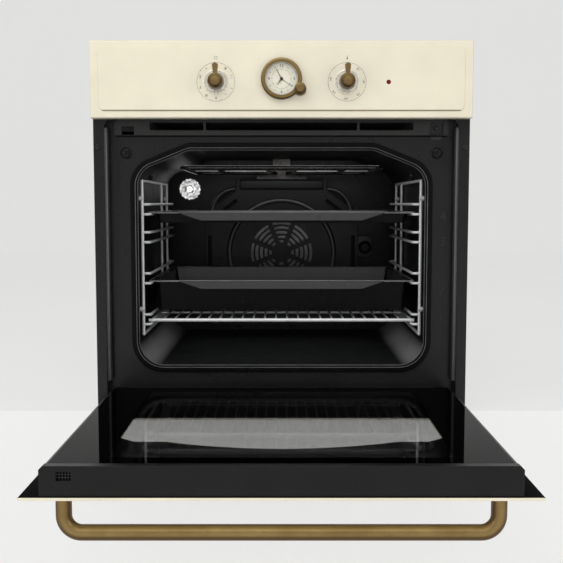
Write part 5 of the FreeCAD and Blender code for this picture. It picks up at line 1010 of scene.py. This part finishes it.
# %% Door buffers
BUFFER_X = 249.3
BUFFER_STEPS = ((0.5, 0.6), (0.9, 0.3), (0.6, -0.9), (0.7, -0.1), (0.5, 0.8), (1.6, 0.6), (2.0, 0.1))
buffer = turned(mm(-BUFFER_X, FACE_FRONT - 0.8, 417.0), radius=9.2, depth=1.6, vertices=64, steps=BUFFER_STEPS)
keep_pair(buffer, copy_of(buffer, 2 * BUFFER_X), "door_buffer", "oven_body", "buffer_rubber", ["door_buffers"])

# %% [markdown]
# A screw through each side flange holds the oven in its cabinet. The head is a cylinder with a rounded edge,
# and the cross recess is cut by a Boolean with a cross that is extruded from a small square.

# %% Cabinet screws
SCREW_X = 290.0
SCREW_Z = 425.6
SCREW_STEPS = ((0.3, 0.45), (0.7, 0.45), (1.0, 0.2))
CROSS_ARM = 1.5
cross = start(bpy.ops.mesh.primitive_cube_add, size=0.9 * MM, location=mm(-SCREW_X, -3.2, SCREW_Z))
for x, z in ((1, 0), (-1, 0), (0, 1), (0, -1)):
    pick(lambda f: f.normal.x * x + f.normal.z * z > 0.9)
    push(x=CROSS_ARM * x, z=CROSS_ARM * z)
screw = turned(mm(-SCREW_X, -1.7, SCREW_Z), radius=4.4, depth=1.0, vertices=48, steps=SCREW_STEPS)
pick(lambda f: f.normal.y > 0.9)
carve((2.1, 0.0))
push(y=6.0)
apply_modifier(screw, "BOOLEAN", operation="DIFFERENCE", object=cross)
only(cross)
bpy.ops.object.delete()
keep_pair(screw, copy_of(screw, 2 * SCREW_X), "cabinet_screw", "oven_body", "black_enamel")

# %% [markdown]
# The recess has a round fold just inside each side wall, which stiffens the sheet and catches a long line of
# light. It is a box that is rounded on its inner front edge and round its head. Its enamel is painted lighter
# than the frame, a painted highlight, and the cover's ribs, its ring and the cap plate get the same.

# %% Recess folds
FOLD_FOOT = 50.0
FOLD_HEAD = 457.0
FOLD = mm(-278.8, 8.0, (FOLD_FOOT + FOLD_HEAD) / 2)
fold = box(FOLD, wide=6.6, deep=12.0, high=FOLD_HEAD - FOLD_FOOT)
round_edges(radius=5.6, segments=10, test=ends(lambda c: c.y < FOLD[1] and c.x > FOLD[0]))
round_edges(radius=1.0, segments=3, test=ends(lambda c: c.z > (FOLD_HEAD - 0.1) * MM))
# Lighter black enamel: a painted highlight.
painted_highlight_black = dark_enamel("painted_highlight_enamel", paint(52, 52, 51), 0.28, 0.38, 0.04, 1.0)
keep_pair(fold, mirrored(fold), "recess_fold", "oven_body", "black_enamel", finish=painted_highlight_black)

# %% [markdown]
# Beside the profiles of the door a strip of its skin stays in view from above. It is backed with a dull black
# film, a dark sheet that is painted shade there. The strip is a flat box with a bevelled rim.

# %% Skin backing
BACKING_X = 285.0
BACKING = mm(-BACKING_X, -226.0, 6.7)
backing = box(BACKING, wide=24.0, deep=446.0, high=0.3)
round_edges(radius=0.1, segments=2, test=ends(lambda c: c.z > BACKING[2]))
# A dull black film: painted shade beside the profiles.
shade_film = moulded_finish("painted_shade_film", grey(4), grey(8), 0.6, 0.75, 1500.0, 0.1, 0.05)
keep_pair(backing, copy_of(backing, 2 * BACKING_X), "skin_backing", "door", "black_plastic", finish=shade_film)

# %% [markdown]
# The free edge of the door's skin is rolled over, so it shows as a bright line below the black profile. It is a
# long flat box with rounded edges.

# %% Rolled edge of the skin
roll = box(mm(0, -450.0, 5.1), wide=594.0, deep=1.6, high=3.4)
round_edges(radius=0.5, segments=3)
keep(roll, "skin_roll", "door", "cream_enamel", angle=60)

# %% [markdown]
# Several edges here are rolled round a wire or held by one. All are made alike: a flat loop with round corners
# becomes a curve, the curve gets a round section, and the result is made a mesh again. The loop starts as a
# plane, which loses its face once its corners are rounded. The rims of the two trays come first.


# %% Rolled rims
def round_bar(loop, radius):
    """Turns the loop that is being edited into a closed bar of a round section."""
    bpy.ops.mesh.select_all(action="SELECT")
    bpy.ops.mesh.delete(type="ONLY_FACE")
    only(loop)
    bpy.ops.object.convert(target="CURVE")
    bpy.context.active_object.data.bevel_depth = radius * MM
    bpy.context.active_object.data.bevel_resolution = 3
    bpy.ops.object.convert(target="MESH")
    return bpy.context.active_object


def flat_loop(middle, wide, deep, high, corner):
    """A rectangle with round corners, opened in edit mode. It lies in the plane of its two sizes above 1."""
    rotation = (0.0, 0.0, 0.0) if high == 1 else FRONT
    loop = start(bpy.ops.mesh.primitive_plane_add, size=MM, location=middle, rotation=rotation)
    bpy.ops.transform.resize(value=(wide, deep, high), center_override=middle)
    bpy.ops.mesh.select_mode(type="VERT")
    bpy.ops.mesh.select_all(action="SELECT")
    bpy.ops.mesh.bevel(offset=corner * MM, segments=6, affect="VERTICES")
    return loop


TRAY_HALF = 222.6
TRAY_FRONT = 71.4
TRAY_REAR = 398.6
# The rims get a pale steel colour in place of the trays' black enamel: a painted highlight.
painted_highlight_steel = metal_finish("painted_highlight_steel", grey(180), paint(214, 214, 213), 0.26, 0.36, EVEN, 0.04, 0.35)
for tray, z in (("baking_tray", 321.3), ("deep_pan", 206.3)):
    middle = mm(0, (TRAY_FRONT + TRAY_REAR) / 2, z)
    loop = flat_loop(middle, wide=2 * TRAY_HALF, deep=TRAY_REAR - TRAY_FRONT, high=1, corner=4.0)
    keep(round_bar(loop, radius=1.3), tray + "_rim", tray, "tray_enamel", finish=painted_highlight_steel, angle=60)

# %% [markdown]
# The mouth of the cavity has a rolled rim, and a second wire holds the seal. Both follow the mouth's outline,
# which has slanting upper corners. The loop starts as a circle of six points. Each point is taken to its
# corner, and then the corners are rounded, each pair with its own radius.

# %% Mouth rim and seal wire
MOUTH_HALF = 232.0
MOUTH_FOOT = 72.6
MOUTH_TOP = 422.0
MOUTH_MIDDLE = 250.0
MOUTH_SHOULDER = 83.5
MOUTH_SLANT = math.radians(22.0)
FOOT_ROUND, SIDE_ROUND, TOP_ROUND = 40.0, 34.0, 24.0
SAME_POINT = 0.01 * MM


def mouth_loop(grow, y):
    """The mouth's outline, moved outwards, at a depth, opened in edit mode."""
    half = MOUTH_HALF + grow
    flat = MOUTH_HALF - MOUTH_SHOULDER + grow * math.tan(MOUTH_SLANT / 2)
    foot, top = MOUTH_FOOT - grow, MOUTH_TOP + grow
    side_z = top - (half - flat) * math.tan(MOUTH_SLANT)
    corners = [(half, side_z), (flat, top), (-flat, top), (-half, side_z), (-half, foot), (half, foot)]
    loop = start(bpy.ops.mesh.primitive_circle_add, vertices=6, radius=100 * MM, fill_type="NGON",
                 location=mm(0, y, MOUTH_MIDDLE), rotation=FRONT)
    bpy.ops.mesh.select_mode(type="VERT")
    mesh = bmesh.from_edit_mesh(loop.data)
    starts = sorted((v.co.copy() for v in mesh.verts),
                    key=lambda c: math.atan2(c.z - MOUTH_MIDDLE * MM, c.x))
    goals = sorted(corners, key=lambda c: math.atan2(c[1] - MOUTH_MIDDLE, c[0]))
    for begin, (x, z) in zip(starts, goals):
        pick(lambda v: (v.co - begin).length < SAME_POINT, "verts")
        bpy.ops.transform.translate(value=Vector(mm(x, y, z)) - begin)
    rounds = [(foot, FOOT_ROUND + grow),
              (side_z, (SIDE_ROUND + grow) * math.tan((math.pi / 2 - MOUTH_SLANT) / 2)),
              (top, (TOP_ROUND + grow) * math.tan(MOUTH_SLANT / 2))]
    for z, offset in rounds:
        pick(lambda v: abs(v.co.z - z * MM) < SAME_POINT and abs(v.co.x) > 100 * MM, "verts")
        bpy.ops.mesh.bevel(offset=offset * MM, segments=10, affect="VERTICES")
    return loop


# Both get a grey steel colour, lighter than the black round them: a painted highlight along the mouth.
painted_highlight_wire = metal_finish("painted_highlight_wire", grey(96), paint(122, 122, 121), 0.28, 0.38, EVEN, 0.04, 0.8)
for name, slot, grow, y, radius in (("mouth_rim", "black_enamel", 0.2, 20.9, 0.8),
                                    ("seal_wire", "seal_braid", 3.4, 17.4, 0.7)):
    keep(round_bar(mouth_loop(grow, y), radius), name, "oven_body", slot, finish=painted_highlight_wire, angle=60)

# %% [markdown]
# Each air slot in the trim has a thin turned-out border, and along the trim's foot runs a dark strip, a painted
# shadow under the trim. The borders are loops again. The strip is a bar with bevelled edges, in the same dull
# black as the film on the door.

# %% Slot borders and trim shadow strip
SLOT_MIDDLE_Z = 459.4
SLOT_SPANS = ((-211.0, -125.0), (-121.0, 121.0), (125.0, 211.0))
borders = []
for low, high in SLOT_SPANS:
    middle = mm((low + high) / 2, 17.8, SLOT_MIDDLE_Z)
    loop = flat_loop(middle, wide=high - low + 1.0, deep=1, high=13.0, corner=2.5)
    borders.append(round_bar(loop, radius=0.6))
keep(joined(borders), "slot_borders", "oven_body", "black_enamel", finish=own_finish["vent_trim"], angle=60)
# A dark strip under the trim: a painted shadow.
SHADOW_STRIP = mm(0, 17.9, 443.9)
shadow_strip = box(SHADOW_STRIP, wide=530.0, deep=0.9, high=1.5)
round_edges(radius=0.3, segments=2, test=ends(lambda c: c.y < SHADOW_STRIP[1]))
keep(shadow_strip, "trim_shadow_strip", "oven_body", "black_plastic", finish=shade_film)

# %% [markdown]
# The cover of the fan is pressed into shape: a step across its neck, and a curved rib on each shoulder that
# guides the air. The step is a bevelled box. A rib is a small disc that is spun a quarter turn and then
# flattened. The ring round the air slots is a torus, flattened too and cut off where it meets the sheet.

# %% Ribs of the fan cover
COVER_FRONT = 428.0
RIB_X = 95.0
RIB_MIDDLE = mm(RIB_X, COVER_FRONT, 318.0)
RING = mm(0, COVER_FRONT, 234.7)
neck_step = box(mm(0, COVER_FRONT - 4.0, 375.0), wide=172.0, deep=9.0, high=20.0)
round_edges(radius=2.4, segments=4)
keep(neck_step, "cover_step", "oven_body", "black_enamel")
# The ribs and the ring are in the lighter enamel of the folds: a painted highlight.
rib = start(bpy.ops.mesh.primitive_circle_add, vertices=16, radius=4.5 * MM, fill_type="NGON",
            location=mm(RIB_X, COVER_FRONT, 366.0), rotation=SIDEWAYS)
bpy.ops.mesh.spin(steps=24, angle=math.radians(-90), center=RIB_MIDDLE, axis=(0, 1, 0))
bpy.ops.mesh.select_all(action="SELECT")
bpy.ops.transform.resize(value=(1.0, 0.8, 1.0), center_override=RIB_MIDDLE)
keep_pair(mirrored(rib), rib, "cover_rib", "oven_body", "black_enamel", finish=painted_highlight_black, angle=60)
ring = start(bpy.ops.mesh.primitive_torus_add, major_radius=108 * MM, minor_radius=5.5 * MM,
             major_segments=128, minor_segments=20, location=RING, rotation=FRONT)
bpy.ops.transform.resize(value=(1.0, 0.75, 1.0), center_override=RING)
bpy.ops.mesh.bisect(plane_co=mm(0, COVER_FRONT + 0.6, 0), plane_no=(0, 1, 0), use_fill=True, clear_outer=True)
keep(ring, "cover_ring", "oven_body", "black_enamel", finish=painted_highlight_black, angle=60)

# %% [markdown]
# A thin bright rail lies close below the grill element at each side of the bracket, to keep its loops level. A
# rail is a cylinder that lies across, with its two ends rounded.

# %% Grill rails
RAIL_X = 101.0
rail = can(mm(RAIL_X, 358.0, 400.1), radius=1.4, depth=142.0, vertices=20, rotation=SIDEWAYS)
round_edges(radius=0.5, segments=3, test=ends(lambda c: abs(c.x - RAIL_X * MM) > 70 * MM))
keep_pair(copy_of(rail, -2 * RAIL_X), rail, "grill_rail", "oven_body", "chrome_wire", angle=60)

# %% [markdown]
# The round cap on the rear wall sits on a pressed plate, which closes the opening of the rear thermostat. The
# plate is a box with its four corners and then its front rim rounded.

# %% Cap plate
PLATE = mm(174.0, 463.6, 246.0)
plate = box(PLATE, wide=36.0, deep=5.0, high=48.0)
round_edges(radius=12.0, segments=8, test=lambda e: abs(e.verts[0].co.y - e.verts[1].co.y) > 1.0 * MM)
round_edges(radius=1.6, segments=3, test=ends(lambda c: c.y < PLATE[1]))
# The cap plate is in the lighter enamel of the folds: a painted highlight.
keep(plate, "cap_plate", "oven_body", "black_enamel", finish=painted_highlight_black, angle=60)

# %% [markdown]
# Thin casing sheet drums and bends unless it is stiffened, so beads are pressed into it: two along each side
# and a frame on the back and on the top. A side bead is a long box with round edges, copied to its other
# places. The frames are round bars that sit half in the sheet.

# %% Casing beads
CASING_HALF = 280.0
CASING_BACK = 545.0
CASING_TOP = 575.0
LOW_BEAD, HIGH_BEAD = 150.0, 400.0
bead = box(mm(CASING_HALF, 270.0, LOW_BEAD), wide=3.4, deep=420.0, high=13.0)
round_edges(radius=1.6, segments=4)
moves = ((0.0, HIGH_BEAD - LOW_BEAD), (-2 * CASING_HALF, 0.0), (-2 * CASING_HALF, HIGH_BEAD - LOW_BEAD))
beads = [bead] + [copy_of(bead, x=across, z=up) for across, up in moves]
keep(joined(beads), "side_beads", "oven_body", "galvanised", angle=60)
for name, middle, deep, high in (("back_bead", mm(0, CASING_BACK, 250.0), 1, 330.0),
                                 ("top_bead", mm(0, 210.0, CASING_TOP), 250.0, 1)):
    loop = flat_loop(middle, wide=420.0, deep=deep, high=high, corner=40.0)
    keep(round_bar(loop, radius=3.0), name, "oven_body", "galvanised", angle=60)

# %% [markdown]
# The stage is one sheet: a pale floor in front, a low step that carries the oven as its cabinet would, and a
# backdrop that rises behind it. It starts as a plane, and its rear edge is extruded along that line.

# %% Stage
FLOOR_SIZE = 12.0
FLOOR_Z = -0.30
STEP_Y = 0.006
BACKDROP_Y = 4.4
BACKDROP_HEIGHT = 4.0
stage = start(bpy.ops.mesh.primitive_plane_add, size=FLOOR_SIZE, location=(0, STEP_Y - FLOOR_SIZE / 2, FLOOR_Z))
bpy.ops.mesh.select_mode(type="EDGE")
pick(ends(lambda c: c.y > STEP_Y - 0.1), "edges")
for rise in ((0, 0, -FLOOR_Z), (0, BACKDROP_Y - STEP_Y, 0), (0, 0, BACKDROP_HEIGHT)):
    bpy.ops.mesh.extrude_region_move(TRANSFORM_OT_translate={"value": rise})
bpy.ops.mesh.select_all(action="SELECT")
bpy.ops.mesh.normals_make_consistent(inside=False)
only()
stage.name = "studio_floor"

# %% [markdown]
# The paper of the stage is matt and pale. Lit alone, it would fall off to grey behind the oven, so what the
# camera sees of it, directly or in metal and glass, is partly its own even white. The other part stays lit and
# keeps the shadow of the oven.

# %% Stage paper
OWN_WHITE = 0.68
paper = Finish("pale_paper")
paper.feed(Base_Color=paper.mix(paper.cloudy(3.0), grey(236), grey(240)),
           Roughness=paper.cloudy(8.0, 0.85, 0.95))
ray = paper.add("LightPath")
looks = paper.calc("MAXIMUM", ray["Is Camera Ray"], ray["Is Glossy Ray"])
looks = paper.calc("MAXIMUM", looks, ray["Is Transmission Ray"])
white = paper.add("Emission", [("Color", paint(245, 245, 243)), ("Strength", 1.0)])[0]
paper.instead(white, paper.calc("MULTIPLY", looks, OWN_WHITE))
stage.data.materials.append(paper.material)
print("stage:", len(stage.data.polygons), "faces")

# %% [markdown]
# Soft light comes from wide lamps: one above, one in front and one at each side. The world adds a plain pale
# light from everywhere. Levels are set so that a colour renders about as it is written. The oven's own lamp is
# on, and one small bulb can't show how its light fills the cavity, so two weak lamps do: one under the roof and
# one above the floor, which the trays shade. Two lamps would show in the door's glass, so they don't mirror.

# %% Light
OVEN_MIDDLE = (0, 0, 0.3)
LAMPS = (  # name, place, aim, width and height in metres, watts
    ("lamp_above", (-0.4, -1.6, 2.3), OVEN_MIDDLE, 2.6, 1.6, 24.0),
    ("lamp_left", (-2.2, -1.5, 0.9), OVEN_MIDDLE, 1.2, 1.8, 11.0),
    ("lamp_right", (2.2, -1.5, 0.9), OVEN_MIDDLE, 1.2, 1.8, 11.0),
    ("lamp_front", (0, -2.2, 0.62), (0, 0.1, 0.2), 1.2, 0.8, 8.5),
    ("lamp_cavity", (0, 0.2, 0.418), (0, 0.23, 0.0), 0.34, 0.2, 0.3),
    ("lamp_cavity_low", (0, 0.2, 0.125), (0, 0.2, 0.0), 0.36, 0.24, 0.24))
NOT_MIRRORED = ("lamp_front", "lamp_cavity_low")
WORLD_COLOUR = (0.93, 0.94, 0.95, 1.0)
WORLD_STRENGTH = 0.40
for name, place, aim, width, height, power in LAMPS:
    only()
    bpy.ops.object.light_add(type="AREA", location=place)
    lamp = bpy.context.active_object
    lamp.name = name
    lamp.data.shape = "RECTANGLE"
    lamp.data.size = width
    lamp.data.size_y = height
    lamp.data.energy = power
    lamp.rotation_euler = (Vector(aim) - Vector(place)).to_track_quat("-Z", "Y").to_euler()
    lamp.visible_glossy = lamp.visible_transmission = name not in NOT_MIRRORED
world = bpy.data.worlds.new("pale_room")
bpy.context.scene.world = world
world.use_nodes = True
background = world.node_tree.nodes["Background"]
background.inputs["Color"].default_value = WORLD_COLOUR
background.inputs["Strength"].default_value = WORLD_STRENGTH

# %% [markdown]
# The camera stands in front of the oven at the height of its middle and looks down by five degrees. The lens
# was fitted to the straight lines of the front, whose size is known.

# %% Camera
CAMERA_PLACE = (0, -1.436, 0.3375)
CAMERA_TURN = (math.radians(90 - 5), 0, 0)
only()
bpy.ops.object.camera_add(location=CAMERA_PLACE, rotation=CAMERA_TURN)
camera = bpy.context.active_object
camera.name = "front_view"
camera.data.sensor_width = 36.0
camera.data.lens = 57.48
bpy.context.scene.camera = camera
bpy.context.scene.view_settings.view_transform = "Standard"
print("camera at", [round(v, 3) for v in camera.location])
